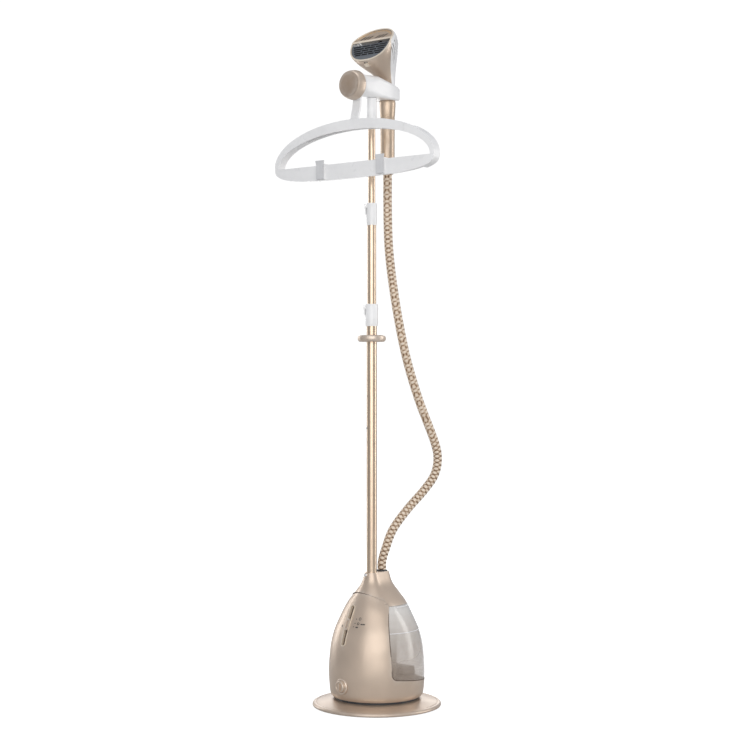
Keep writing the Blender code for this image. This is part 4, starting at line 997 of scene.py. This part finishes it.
def disc():
    shell = [
        (0, 0.0202), (0.104, 0.0201), (0.112, 0.0195), (0.118, 0.0182), (0.1265, 0.0160),
        (0.135, 0.0138), (0.1425, 0.0121), (0.1482, 0.0108), (0.1496, 0.0103), (0.1502, 0.0093),
        (0.1508, 0.0093), (0.1514, 0.0102), (0.1535, 0.0101), (0.1560, 0.0096), (0.1580, 0.0086),
        (0.1594, 0.0069), (0.1600, 0.0048), (0.1599, 0.0032), (0.1590, 0.0017), (0.1575, 0.0012),
        (0.1560, 0.0013), (0.1548, 0.0064), (0.134, 0.0108), (0.110, 0.0170), (0, 0.0172),
    ]
    # the disc wears the darker copy of the gold: painted shade
    lathe("base_disc", shell, sides=44, look="disc_gold")


def drain_knob():
    profile = [(0, 0.1000), (0.0050, 0.1000), (0.0050, 0.1100), (0.0142, 0.1100),
               (0.0148, 0.1106), (0.0148, 0.1236), (0.0144, 0.1252), (0.0134, 0.1264),
               (0.0120, 0.1269), (0.0108, 0.1266), (0.0101, 0.1256), (0.0090, 0.1253), (0, 0.1253)]
    knob = lathe("drain_knob", profile, DRAIN_AXIS, FORWARD, 20, GOLD, FRONT)
    height = DRAIN_AXIS[2]
    grip = place(rounded_box((-0.0024, -0.1285, height - 0.0102),
                             (0.0024, -0.1240, height + 0.0102), 0.0011),
                 "drain_grip", matrix=FRONT)
    boolean(knob, "UNION", grip)


def on_housing(degrees, height, out=0.0):
    return Vector(housing_point(math.radians(degrees), height, -out))


def mark(name, degrees, height, half_wide, half_high, hole=0.0, corner=1.0):
    """A thin printed mark on the housing: a rounded patch, or a ring where it has a hole."""
    radius = front_surface(height)

    def edge(grow, out):
        ring = []
        for i in range(MARK_SIDES):
            turn = 2 * math.pi * i / MARK_SIDES
            c, s = math.cos(turn), math.sin(turn)
            x = grow * math.copysign(abs(c) ** corner, c) * half_wide
            z = grow * math.copysign(abs(s) ** corner, s) * half_high
            ring.append(on_housing(degrees + math.degrees(x / radius), height + z, out))
        return ring

    rings = [edge(1, -INK_SUNK), edge(1, INK_PROUD)]
    if hole:
        rings += [edge(hole, INK_PROUD), edge(hole, -INK_SUNK)]
    detail(lofted(rings, around=bool(hole)), name, "black_ink", "base", GOLD, FRONT)


# Three rows of plain symbols beside the slot, and a pointer on its other side:
# name, degrees, height, half width, half height, hole, corner
MARKS = (
    ("mark_ring_high", 20.5, 0.2255, 0.0034, 0.0034, 0.62),
    ("mark_dot_high", 14.2, 0.2245, 0.0012, 0.0012),
    ("mark_ring_low", 18.4, 0.2142, 0.0031, 0.0031, 0.58),
    ("mark_dot_middle", 12.9, 0.2145, 0.0012, 0.0012),
    ("mark_dash", 26.0, 0.2132, 0.0058, 0.0013, 0.0, 0.3),
    ("mark_dot_low", 11.6, 0.2065, 0.0012, 0.0012),
    ("mark_bar_low", 17.0, 0.2058, 0.0034, 0.0014, 0.0, 0.3),
    ("mark_pointer", -12.2, 0.2045, 0.0022, 0.0030),
)
MARK_SIDES = 24
INK_SUNK, INK_PROUD = 0.0002, 0.00012
LINE_SUNK, LINE_PROUD = 0.0008, 0.0004
NECK_LINE_HALF = 0.0011
TANK_LINE_HALF = 0.0009


def surface_line(name, path, half):
    """A narrow dark strip along a path of (degrees, height), standing just out of the housing: a
    painted shadow line.
    """
    rings = []
    for i, (degrees, height) in enumerate(path):
        point = on_housing(degrees, height)
        before, after = path[max(i - 1, 0)], path[min(i + 1, len(path) - 1)]
        ahead = (on_housing(*after) - on_housing(*before)).normalized()
        out = (on_housing(degrees, height, 0.001) - point).normalized()
        side = ahead.cross(out) * half
        rings.append([point + side - out * LINE_SUNK, point + side + out * LINE_PROUD,
                      point - side + out * LINE_PROUD, point - side - out * LINE_SUNK])
    detail(lofted(rings), name, "painted_shade_brown", "base", GOLD, FRONT)


def degrees_at(y, height):
    """Azimuth of the housing's surface where it is y behind the axis."""
    radius, spread = smooth_value(HOUSING_SIDE, height), neck_spread(height)
    ahead = (-y - spread) / radius
    if ahead < 1 / 6:
        ahead = -y / (radius + 6 * spread)
    return math.degrees(math.acos(max(-1.0, min(1.0, ahead))))


def seam_lines():
    """Dark strips of painted shadow for the gaps: under the neck cover, and down the front edges
    of the tank.
    """
    reach, path = SEAM_CORNER + 0.006, []
    for i in range(81):
        x = reach * (i / 40 - 1)
        height = seam_height(x)
        path.append((math.degrees(math.asin(x / smooth_value(HOUSING_SIDE, height))), height))
    corner = degrees_at(TANK_FRONT_TOP, path[0][1])
    path = [(-corner, path[0][1])] + path + [(corner, path[-1][1])]
    surface_line("seam_shadow_neck", path, NECK_LINE_HALF)
    edge = [(0.10 - 0.01 * i, floor_height(0.10 - 0.01 * i)) for i in range(13)]
    edge += tank_outline(-0.0001, TANK_TOP)[1:-1]
    for side, name in ((-1, "left"), (1, "right")):
        path = [(side * degrees_at(y, z), z) for y, z in edge]
        surface_line("seam_shadow_tank_" + name, path, TANK_LINE_HALF)


def head_backing():
    """Dark sheets close behind the head's two plates, which their slots open onto: painted shade
    for the inside of the head.
    """
    for name, high in (("steam_plate_backing", True), ("grille_backing", False)):
        outline = plate_outline(high, 0.0060, 0.0045, 80, 8)
        sheet = extruded(outline, -0.0008, -0.0001, plane(*plate_frame(high)))
        detail(sheet, name, "painted_shade_black", "head", CHARCOAL)


def steam_marks():
    """The black mouths of the steam slots, painted shade in their holes, and the amber inlays
    round the plate's top edge.
    """
    upper_plane = plate_frame(True)
    out = upper_plane[3]
    for i, x in enumerate(STEAM_SLOTS):
        outline = slanted(x, STEAM_SLOT_HEIGHT, 0.0024, 0.0060, STEAM_SLOT_LEAN)
        patch = extruded(outline, -0.0005, 0.0003, plane(*upper_plane))
        detail(patch, f"steam_slot_{i + 1}", "painted_shade_black", "head", GOLD_METAL)
    inlay = rounded_rectangle(0.0028, 0.0010, 0.0006)
    for i, degrees in enumerate((118, 130, 142, 154, 166, 180, 194, 206, 218, 230, 242)):
        point = face_outline(math.radians(degrees), 0.0085)
        ahead = face_outline(math.radians(degrees + 2), 0.0085) - point
        along = ahead.normalized()
        dash = extruded(inlay, 0.0, 0.00045, plane(point, along, out.cross(along), out))
        detail(dash, f"steam_mark_{i + 1}", "amber", "head", GOLD_METAL)


def tank_ridge():
    """The moulded ridge that runs round the tank, and the foot line where it meets its seat, both
    white: a painted highlight on the clear plastic.
    """
    for name, height, high, proud in (("tank_ridge_line", 0.1915, 0.0008, 0.0007),
                                      ("tank_top_line", 0.2500, 0.0007, 0.0004)):
        lean = max(0.0, (height - TANK_LEAN_STARTS) / (TANK_TOP - TANK_LEAN_STARTS))
        front = TANK_FRONT + 0.0012 + (TANK_FRONT_TOP - TANK_FRONT) * lean ** 2
        first = degrees_at(front, height)
        rings = []
        for i in range(97):
            degrees = first + (360 - 2 * first) * i / 96
            low, top = height - high, height + high
            rings.append([on_housing(degrees, low, -0.0006), on_housing(degrees, low, 0.0),
                          on_housing(degrees, height, proud), on_housing(degrees, top, 0.0),
                          on_housing(degrees, top, -0.0006)])
        # white lines: painted highlight along the tank's ridges
        detail(lofted(rings), name, WHITE, "tank", CLEAR, FRONT)


# ---- hose ----

HOSE_PITCH = 0.0112
HOSE_TURNS = 1.5  # pairs of pad columns round the hose
HOSE_AROUND = 48


def hose():
    """The corrugated hose in its woven jacket: staggered pads between crossing cords."""
    route = smooth_route(HOSE_ROUTE, 0.0013)
    side = Vector((1, 0, 0))
    rings, weave, travelled = [], [], 0.0
    for i, point in enumerate(route):
        ahead = (route[min(i + 1, len(route) - 1)] - route[max(i - 1, 0)]).normalized()
        side = (side - ahead * side.dot(ahead)).normalized()
        up = ahead.cross(side)
        if i:
            travelled += (point - route[i - 1]).length
        ring = []
        for k in range(HOSE_AROUND):
            turn = 2 * math.pi * k / HOSE_AROUND
            along = travelled / HOSE_PITCH
            a = math.cos(HOSE_TURNS * turn + math.pi * along)
            b = math.cos(HOSE_TURNS * turn - math.pi * along)
            pad = (a * a * b * b) ** 0.6
            reach = HOSE_RADIUS - 0.0011 + 0.0015 * pad
            ring.append(point + (side * math.cos(turn) + up * math.sin(turn)) * reach)
            weave.append(pad)
        rings.append(ring)
    bm = lofted(rings)
    obj = place(bm, "steam_hose", WOVEN)
    attribute = obj.data.attributes.new("weave", "FLOAT", "POINT")
    attribute.data.foreach_set("value", weave)


# ---- poles and latches ----


def lower_poles():
    radius = LOWER_POLE
    profile = [(radius - 0.0013, POLE_FOOT), (radius, POLE_FOOT),
               (radius, POLE_JOINT - GAP), (radius - 0.0014, POLE_JOINT - GAP),
               (radius - 0.0014, 0.715), (radius - 0.0024, 0.715),
               (radius - 0.0024, 0.664), (radius - 0.0013, 0.660)]
    lower = lathe("lower_pole", profile, POLE_BASE, look=GOLD_METAL)
    upper = lathe("lower_pole_extension", rod(radius, POLE_JOINT, 0.9600, radius - 0.0011),
                  POLE_BASE, look=GOLD_METAL)
    way = direction(BUTTON_FACING)
    centre = Vector((0, -AXIS_OFFSET, BUTTON_HEIGHT))
    hole = lathe("cut_button", rod(0.0033, 0.004, 0.02), centre, way, 14)
    boolean(lower, "DIFFERENCE", hole)
    boolean(upper, "DIFFERENCE", hole)
    button = [(0, 0.0070), (0.0030, 0.0070), (0.0030, 0.0135), (0.0020, 0.0142), (0, 0.0144)]
    lathe("pole_button", button, centre, way, 14, "chrome")
    ring = [(0.0130, 0.9040), (0.0200, 0.9036), (0.0265, 0.9055), (0.0310, 0.9035),
            (0.0345, 0.9070), (0.0355, 0.9120), (0.0340, 0.9172), (0.0305, 0.9195),
            (0.0265, 0.9175), (0.0200, 0.9190), (0.0160, 0.9205), (0.0130, 0.9205)]
    lathe("collar_ring", ring, POLE_BASE, sides=24, look=GOLD)


def latch_point(radial, lateral, height):
    way = direction(LATCH_FACING)
    side = Vector((-way.y, way.x, 0))
    return Vector((0, -AXIS_OFFSET, height)) + way * radial + side * lateral


def latch_block(radials, laterals, heights):
    """A block with its faces square to the way that the latch faces."""
    corners = ((radials[0], heights[0]), (radials[1], heights[0]), (radials[1], heights[1]),
               (radials[0], heights[1]))
    return lofted([[latch_point(r, lateral, h) for r, h in corners] for lateral in laterals])


def latch(name, span, outer, lower_bore, upper_bore, step_height):
    """A clamp round the end of one tube, with a lever on a pin."""
    low, high = span
    profile = [(lower_bore, low), (outer - 0.0010, low), (outer, low + 0.006),
               (outer, high - 0.002), (outer - 0.0010, high), (upper_bore, high),
               (upper_bore, step_height), (lower_bore, step_height)]
    body = lathe(name + "_body", profile, POLE_BASE, look=WHITE)
    pin_height = high - 0.0070
    ears = [
        place(latch_block((outer - 0.0035, outer + 0.0040), laterals,
                          (high - 0.0115, high - 0.0025)), f"{name}_ear_{i}")
        for i, laterals in enumerate(((-0.0088, -0.0065), (0.0065, 0.0088)))
    ]
    side = latch_point(0, 1, 0) - latch_point(0, 0, 0)
    centre = latch_point(outer + 0.0014, 0, pin_height)
    pocket = lathe(name + "_pocket", rod(0.0042, -0.0064, 0.0064), centre, side)
    bore = lathe(name + "_bore", rod(0.0018, -0.0120, 0.0120), centre, side, 12)
    boolean(body, "UNION", *ears)
    boolean(body, "DIFFERENCE", pocket, bore)
    lever = lathe(name + "_lever", rod(0.0037, -0.0060, 0.0060, 0.0018), centre, side, look=WHITE)
    blade = place(latch_block((outer + 0.0006, outer + 0.0036), (-0.0060, 0.0060),
                              (high - 0.0280, pin_height - 0.0022)), name + "_blade")
    boolean(lever, "UNION", blade)


def upper_poles():
    lathe("mid_pole", rod(MID_POLE, 0.9250, 1.2050, MID_POLE - 0.0010), POLE_BASE,
          look=GOLD_METAL)
    lathe("mid_pole_foot", rod(0.0112, 0.9190, 0.9247), POLE_BASE, look=CHARCOAL)
    lathe("upper_pole", rod(UPPER_POLE, 1.1900, 1.5030, UPPER_POLE - 0.0010), POLE_BASE,
          look=GOLD_METAL)
    lathe("upper_pole_foot", rod(0.0096, 1.1840, 1.1897), POLE_BASE, look=CHARCOAL)
    latch("lower_latch", LOWER_LATCH, 0.0158, LOWER_POLE + GAP, MID_POLE + GAP, 0.9603)
    latch("upper_latch", UPPER_LATCH, 0.0132, MID_POLE + GAP, UPPER_POLE + GAP, 1.2053)
    socket = [(UPPER_POLE + GAP, 1.4400), (0.0120, 1.4400), (0.01225, 1.4420),
              (0.01225, DOCK_BOTTOM - 0.0012), (UPPER_POLE + GAP, DOCK_BOTTOM - 0.0012)]
    lathe("dock_socket", socket, POLE_BASE, look=WHITE)


# ---- dock arm, knob and hanger ----


def dock_section(y, half_width, bottom, top, radius):
    centre = (bottom + top) / 2
    outline = rounded_rectangle(half_width, (top - bottom) / 2, radius, 10)
    return [(a, y, centre + b) for a, b in outline]


def dock_arm():
    """A barrel at the front that widens to a fork, open at the back, for the handle."""
    sections = [
        (-0.0680, 0.0235, 1.507, 1.5605, 0.0230),
        (-0.0450, 0.0235, 1.507, 1.5615, 0.0220),
        (-0.0180, 0.0250, DOCK_BOTTOM, DOCK_TOP, 0.0120),
        (0.0150, 0.0278, DOCK_BOTTOM, 1.5515, 0.0070),
        (0.0500, 0.0282, DOCK_BOTTOM, 1.543, 0.0050),
        (0.0590, 0.0262, DOCK_BOTTOM + 0.001, 1.540, 0.0050),
        (0.0605, 0.0240, DOCK_BOTTOM + 0.003, 1.538, 0.0050),
    ]
    arm = place(lofted([dock_section(*section) for section in sections]), "dock_arm", WHITE)
    cradle = lathe("cut_cradle", rod(0.0212, 1.49, 1.57), HANDLE_BASE)
    mouth = place(box((-0.0185, HANDLE_Y, 1.49), (0.0185, 0.08, 1.57)), "cut_mouth")
    stud = lathe("hub_stud", rod(0.0100, 0.060, 0.0840), HUB_AXIS, FORWARD)
    pole = lathe("cut_dock_pole", rod(UPPER_POLE + GAP, 1.49, 1.5035), POLE_BASE)
    boolean(arm, "DIFFERENCE", cradle, mouth)
    boolean(arm, "UNION", stud)
    boolean(arm, "DIFFERENCE", pole)
    knob = [(0, 0.0852), (0.0350, 0.0852), (0.0365, 0.0870), (0.0362, 0.0930),
            (0.0340, 0.1030), (0.0322, 0.1075), (0.0312, 0.1085), (0, 0.1085)]
    lathe("lock_knob", knob, HUB_AXIS, FORWARD, 24, GOLD)
    face = [(0, 0.1088), (0.0300, 0.1088), (0.0298, 0.1096), (0.0200, 0.1108), (0, 0.1114)]
    lathe("lock_knob_face", face, HUB_AXIS, FORWARD, 24, "deep_gold")


def arch_outer(x):
    return HANGER_MIDDLE + HANGER_RISE * math.sqrt(max(0.0, 1 - (x / HANGER_HALF) ** 2))


def arch_inner(x):
    half = HANGER_HALF - 0.0115
    rise = 1.4215 - BAR_TOP
    return BAR_TOP + rise * math.sqrt(max(0.0, 1 - (x / half) ** 2))


def hanger_arch():
    """The hanger's middle arch, with the strap and the hub that hang it on the dock arm."""
    limit = ARCH_SEAM - GAP
    xs = [limit * (-1 + i / 28) for i in range(57)]
    outline = [(x, arch_outer(x)) for x in xs] + [(x, arch_inner(x)) for x in reversed(xs)]
    bm = extruded(outline, HANGER_FRONT, HANGER_FRONT + HANGER_DEPTH, facing_front)
    soften(bm, 0.004)
    arch = place(bm, "hanger_arch", WHITE)
    groove_outline = [(x, arch_outer(x) - 0.0045) for x in xs[1:-1]]
    groove_outline += [(x, arch_inner(x) - 0.003) for x in reversed(xs[1:-1])]
    groove = place(extruded(groove_outline, HANGER_FRONT + 0.0045,
                            HANGER_FRONT + HANGER_DEPTH - 0.0045, facing_front), "cut_groove")
    hub = [(0.0105, 0.0690), (0.0235, 0.0690), (0.0235, 0.0805), (0.0350, 0.0815),
           (0.0355, 0.0846), (0.0105, 0.0846)]
    hub = lathe("hanger_hub", hub, HUB_AXIS, FORWARD, 24)
    strap_line = ((1.5150, -0.0760, 0.0105), (1.4950, -0.0760, 0.0115), (1.4750, -0.0785, 0.0120),
                  (1.4600, -0.0830, 0.0120), (1.4400, -0.0870, 0.0125))
    rings = []
    for height, y, half in strap_line:
        rings.append([(-half, y - 0.003, height), (half, y - 0.003, height),
                      (half, y + 0.003, height), (-half, y + 0.003, height)])
    strap = place(lofted(rings), "hanger_strap")
    boolean(arch, "DIFFERENCE", groove)
    boolean(arch, "UNION", hub, strap)
    boolean(arch, "DIFFERENCE", lathe("cut_hub", rod(0.0104, 0.06, 0.09), HUB_AXIS, FORWARD))


def soften(bm, width):
    """Round the long edges that run along the outline of a front-facing prism."""
    edges = [e for e in bm.edges if abs(e.verts[0].co.y - e.verts[1].co.y) < 1e-6
             and e.calc_face_angle(0) > 1.0]
    bmesh.ops.bevel(bm, geom=edges, offset=width, segments=4, profile=0.5, affect="EDGES")


def hanger_loop():
    """The two side curves and the bar between them, in one piece."""
    start = ARCH_SEAM + GAP
    ends = [start + (HANGER_HALF - start) * math.sin(math.radians(a)) for a in range(0, 91, 5)]
    upper = [(x, arch_outer(x)) for x in ends]
    lower = []
    for step in range(1, 22):
        angle = math.radians(90 * step / 21)
        x = HANGER_HALF * math.cos(angle) ** (2 / 3.3)
        z = HANGER_MIDDLE - (HANGER_MIDDLE - BAR_BOTTOM) * math.sin(angle) ** (2 / 3.3)
        lower.append((x, z))
    right = upper + lower[:-1]
    inner_half = HANGER_HALF - 0.0115
    xs = [start + (inner_half - start) * math.sin(math.radians(a)) for a in range(0, 91, 5)]
    inner = [(x, arch_inner(x)) for x in xs]
    left = [(-x, z) for x, z in reversed(right)]
    outline = right + [(0, BAR_BOTTOM)] + left
    outline += [(-x, z) for x, z in inner] + [(x, z) for x, z in reversed(inner)]
    bm = extruded(outline, HANGER_FRONT, HANGER_FRONT + HANGER_DEPTH, facing_front)
    soften(bm, 0.003)
    loop = place(bm, "hanger_loop", WHITE)
    back = place(box((-0.215, HANGER_FRONT + BAR_DEPTH, 1.29), (0.215, -0.06, BAR_TOP + 0.006)),
                 "cut_bar_back")
    boolean(loop, "DIFFERENCE", back)


def clip(side, x):
    """A saddle that slides on the hanger's bar, and a sprung jaw in front of it, pivoted above."""
    front, back = HANGER_FRONT - GAP, HANGER_FRONT + BAR_DEPTH + GAP
    saddle = [(front - 0.0030, 1.3060), (front, 1.3060), (front, BAR_TOP + GAP),
              (back, BAR_TOP + GAP), (back, 1.3120), (back + 0.0028, 1.3120),
              (back + 0.0028, BAR_TOP + 0.0030), (front - 0.0030, BAR_TOP + 0.0030)]
    place(extruded(saddle, x - CLIP_HALF, x + CLIP_HALF, facing_side), f"clip_base_{side}", WHITE)
    near = front - 0.0034
    jaw = [(near, 1.3050), (near, 1.3130), (near - 0.0018, 1.3180), (near - 0.0018, 1.3340),
           (near, 1.3370), (near - 0.0022, 1.3385), (near - 0.0022, 1.3520),
           (near - 0.0050, 1.3520), (near - 0.0046, 1.3400), (near - 0.0050, 1.3250),
           (near - 0.0040, 1.3060)]
    widths = [0.0110 + 0.25 * max(0.0, z - 1.340) for _, z in jaw]
    rings = [[(x + lateral * wide, y, z) for wide, (y, z) in zip(widths, jaw)]
             for lateral in (-1, 1)]
    # the jaw is the white plastic darkened: painted shade
    place(lofted(rings), f"clip_jaw_{side}", "shade_white")


# ---- steam head and handle ----


def face_outline(angle, inset=0.0):
    """A point of the head's face at an angle from its lowest point; its ridge is at 90 degrees."""
    across = math.sin(angle)
    if math.cos(angle) >= 0:
        low = FACE_LOW - Vector((0, RIDGE.y, RIDGE.z))
        reach = abs(math.cos(angle)) ** 0.80
        x = RIDGE.x * math.copysign(abs(across) ** 0.86, across)
        point = Vector((x, RIDGE.y, RIDGE.z)) + low * reach
    else:
        high = FACE_TOP - Vector((0, RIDGE.y, RIDGE.z))
        point = Vector((RIDGE.x * across, RIDGE.y, RIDGE.z)) - high * math.cos(angle)
    if inset:
        middle = Vector((0, RIDGE.y, RIDGE.z))
        point -= (point - middle).normalized() * inset
    return point


def head_point(angle, t, inset=0.0):
    """A point of the head's skin: t runs from the neck ring to the edge of the face."""
    radius = 0.0188
    start = Vector((radius * math.sin(angle), HANDLE_Y - radius * math.cos(angle), HEAD_NECK))
    end = face_outline(angle)
    back = (1 - math.cos(angle)) / 2
    rise = start + Vector((0, 0, 0.022 + 0.050 * back))
    lead = end + Vector((0, 0.013 + 0.034 * back, -0.020 + 0.014 * back))
    u = 1 - t
    point = start * u**3 + 3 * rise * u * u * t + 3 * lead * u * t * t + end * t**3
    if inset:
        middle = HANDLE_Y + (RIDGE.y - HANDLE_Y) * t
        centre = Vector((0, middle, point.z + (RIDGE.z - point.z) * t**3))
        point += (centre - point).normalized() * inset
    return point


def head_seam(t):
    """Degrees from the front to the seam between the two shells, at t along the skin."""
    neck, middle, rim = HEAD_SEAM
    along = 2 * t - 1
    return middle + (rim - neck) / 2 * along + ((rim + neck) / 2 - middle) * along**2


def head_vent(degrees, first, last):
    """The cutter of a slot that runs along the skin at one angle from the front."""
    rings = []
    for i in range(6):
        t = first + (last - first) * i / 5
        low, high = math.radians(degrees - 1.4), math.radians(degrees + 1.4)
        rings.append([head_point(low, t, -0.003), head_point(high, t, -0.003),
                      head_point(high, t, 0.005), head_point(low, t, 0.005)])
    return lofted(rings)


def head_shell(name, look, back):
    """The gold part of the head's skin, or the white part behind it, with a real wall."""
    steps, levels = 48, 26
    rings = []
    for level in range(levels + 1):
        t = level / levels
        seam, gap = head_seam(t), 0.9 - 0.6 * t
        first, last = (seam + gap, 360 - seam - gap) if back else (gap - seam, seam - gap)
        angles = [math.radians(first + (last - first) * i / steps) for i in range(steps + 1)]
        outer = [head_point(a, t) for a in angles]
        inner = [head_point(a, t, 0.0022) for a in reversed(angles)]
        rings.append(outer + inner)
    return place(lofted(rings), name, look)


def plate_frame(high):
    """Origin, across and up vectors of one of the face's two planes, and its outward normal."""
    origin = Vector((0, RIDGE.y, RIDGE.z))
    up = ((FACE_TOP if high else FACE_LOW) - origin).normalized()
    across = Vector((1, 0, 0))
    out = across.cross(up) if high else up.cross(across)
    return origin, across, up, out


def plate_outline(high, inset, least, reach, step):
    """The face's outline in one of its planes, inset, and kept a least height off the ridge."""
    origin, _, up, _ = plate_frame(high)
    middle = 180 if high else 0
    outline = []
    for degrees in range(middle - reach, middle + reach + 1, step):
        point = face_outline(math.radians(degrees), inset) - origin
        outline.append((point.x, max(point.dot(up), least)))
    return outline


def face_plate(name, look, high, slots, solver="MANIFOLD"):
    """A flat plate in one plane of the face, with its slots cut through it."""
    on_plane = plane(*plate_frame(high))
    outline = plate_outline(high, 0.0040, 0.0032, 84, 3)
    plate = place(extruded(outline, -0.0018, 0.0002, on_plane), name, look)
    cuts = [extruded(slanted(*slot), -0.010, 0.004, on_plane) for slot in slots]
    boolean(plate, "DIFFERENCE", place(merged(*cuts), "cut_" + name), solver=solver)


def slanted(a, b, half_a, half_b, lean):
    """The outline of a slot whose upper end is shifted by its lean."""
    corners = ((-half_a, -half_b), (half_a, -half_b), (half_a, half_b), (-half_a, half_b))
    return [(a + x + lean * y, b + y) for x, y in corners]


def face_rim():
    """The pale frame round the face, with the bar across its ridge."""
    rings = []
    for i in range(160):
        angle = 2 * math.pi * i / 160
        edge, inner = face_outline(angle), face_outline(angle, 0.0034)
        lift = Vector((0, -0.0016, 0.0016))
        base = Vector((0, -0.0004, 0.0006))
        rings.append([edge + base, edge + lift, inner + lift, inner + base])
    rim = place(lofted(rings, around=True), "face_frame", "pale_gold")
    middle = Vector((0, RIDGE.y, RIDGE.z))
    bar_ring = []
    for raised in (0.0006, 0.0018):
        ring = []
        for high in (False, True):
            origin, _, up, out = plate_frame(high)
            ring.append(origin + up * 0.0029 + out * raised)
        ring.insert(1, middle + Vector((0, -0.9, 0.9)) * raised)
        bar_ring += ring if raised < 0.001 else ring[::-1]
    half = RIDGE.x - 0.0015
    bar = place(lofted([[p + Vector((side * half, 0, 0)) for p in bar_ring]
                        for side in (-1, 1)]), "ridge_bar")
    boolean(rim, "UNION", bar)


def head():
    head_shell("head_front_shell", GOLD, back=False)
    white = head_shell("head_back_shell", WHITE, back=True)
    vents = []
    for i in range(5):
        vents += [head_vent(side * (76 + 7.5 * i), 0.44 + 0.06 * i, 0.90) for side in (-1, 1)]
    boolean(white, "DIFFERENCE", place(merged(*vents), "cut_vents"))
    face_rim()
    holes = [(x, STEAM_SLOT_HEIGHT, 0.0026, 0.0062, STEAM_SLOT_LEAN) for x in STEAM_SLOTS]
    face_plate("steam_plate", GOLD_METAL, True, holes)
    rows = []
    for row, (height, half) in enumerate(GRILLE_ROWS):
        count = 4 if row % 2 else 3
        pitch = 2 * half / count
        for i in range(count):
            rows.append((-half + pitch * (i + 0.5), height, pitch / 2 - 0.0012, 0.0023, 0))
    face_plate("intake_grille", "slate", False, rows, solver="EXACT")
    latch_tab()


def latch_tab():
    """The push tab under the face, set in a notch of the gold shell."""
    t = 0.86
    along = (head_point(0.0, t + 0.02) - head_point(0.0, t - 0.02)).normalized()
    across = Vector((1, 0, 0))
    out = across.cross(along).normalized()
    if out.y > 0:
        out = -out
    on_tab = plane(head_point(0.0, t), across, along, out)
    outline = rounded_rectangle(0.0060, 0.0052, 0.002, 6)
    notch_outline = [(a, b + 0.0014) for a, b in rounded_rectangle(0.0064, 0.0070, 0.002, 6)]
    notch = place(extruded(notch_outline, -0.008, 0.008, on_tab), "cut_tab")
    boolean(BUILT["head_front_shell"], "DIFFERENCE", notch)
    place(extruded(outline, -0.0022, 0.0024, on_tab), "head_release_tab", "pale_gold")


def handle():
    profile = [(0.0172, HANDLE_BOTTOM), (0.0178, 1.358), (0.0182, 1.4660), (0.0177, 1.4675),
               (0.0177, 1.4690), (0.0184, 1.4705), (0.0204, 1.5020), (0.0200, 1.5055),
               (0.0192, 1.5080), (0.0188, HEAD_NECK - GAP), (0.0128, HEAD_NECK - GAP),
               (0.0128, 1.4700), (0.0145, 1.4600), (0.0145, HANDLE_BOTTOM)]
    lathe("handle_grip", profile, HANDLE_BASE, look="handle_gold")
    cuff = [(0.0132, 1.3250), (0.0146, 1.3250), (0.0158, 1.3300), (0.0166, HANDLE_BOTTOM - GAP),
            (0.0132, HANDLE_BOTTOM - GAP)]
    lathe("hose_cuff", cuff, HANDLE_BASE, look="handle_gold")


# ---- everything together ----


def main():
    studio()
    disc()
    housing()
    tank()
    drain_knob()
    slider()
    lower_poles()
    upper_poles()
    dock_arm()
    hanger_arch()
    hanger_loop()
    clip("left", -CLIP_X)
    clip("right", CLIP_X)
    head()
    handle()
    hose()
    for helper in HELPERS:
        bpy.data.objects.remove(helper, do_unlink=True)
    for name in BUILT:
        dress(name)
    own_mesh(BUILT["steam_hose"])
    for name, node in frame["nodes"].items():
        if name not in BUILT:
            look = CHARCOAL if name == "pole_socket" else SLOT_OF[name]
            node.data.materials.clear()
            node.data.materials.append(LOOKS[look])
    for row in MARKS:
        mark(*row)
    tank_ridge()
    seam_lines()
    head_backing()
    steam_marks()


main()

import json
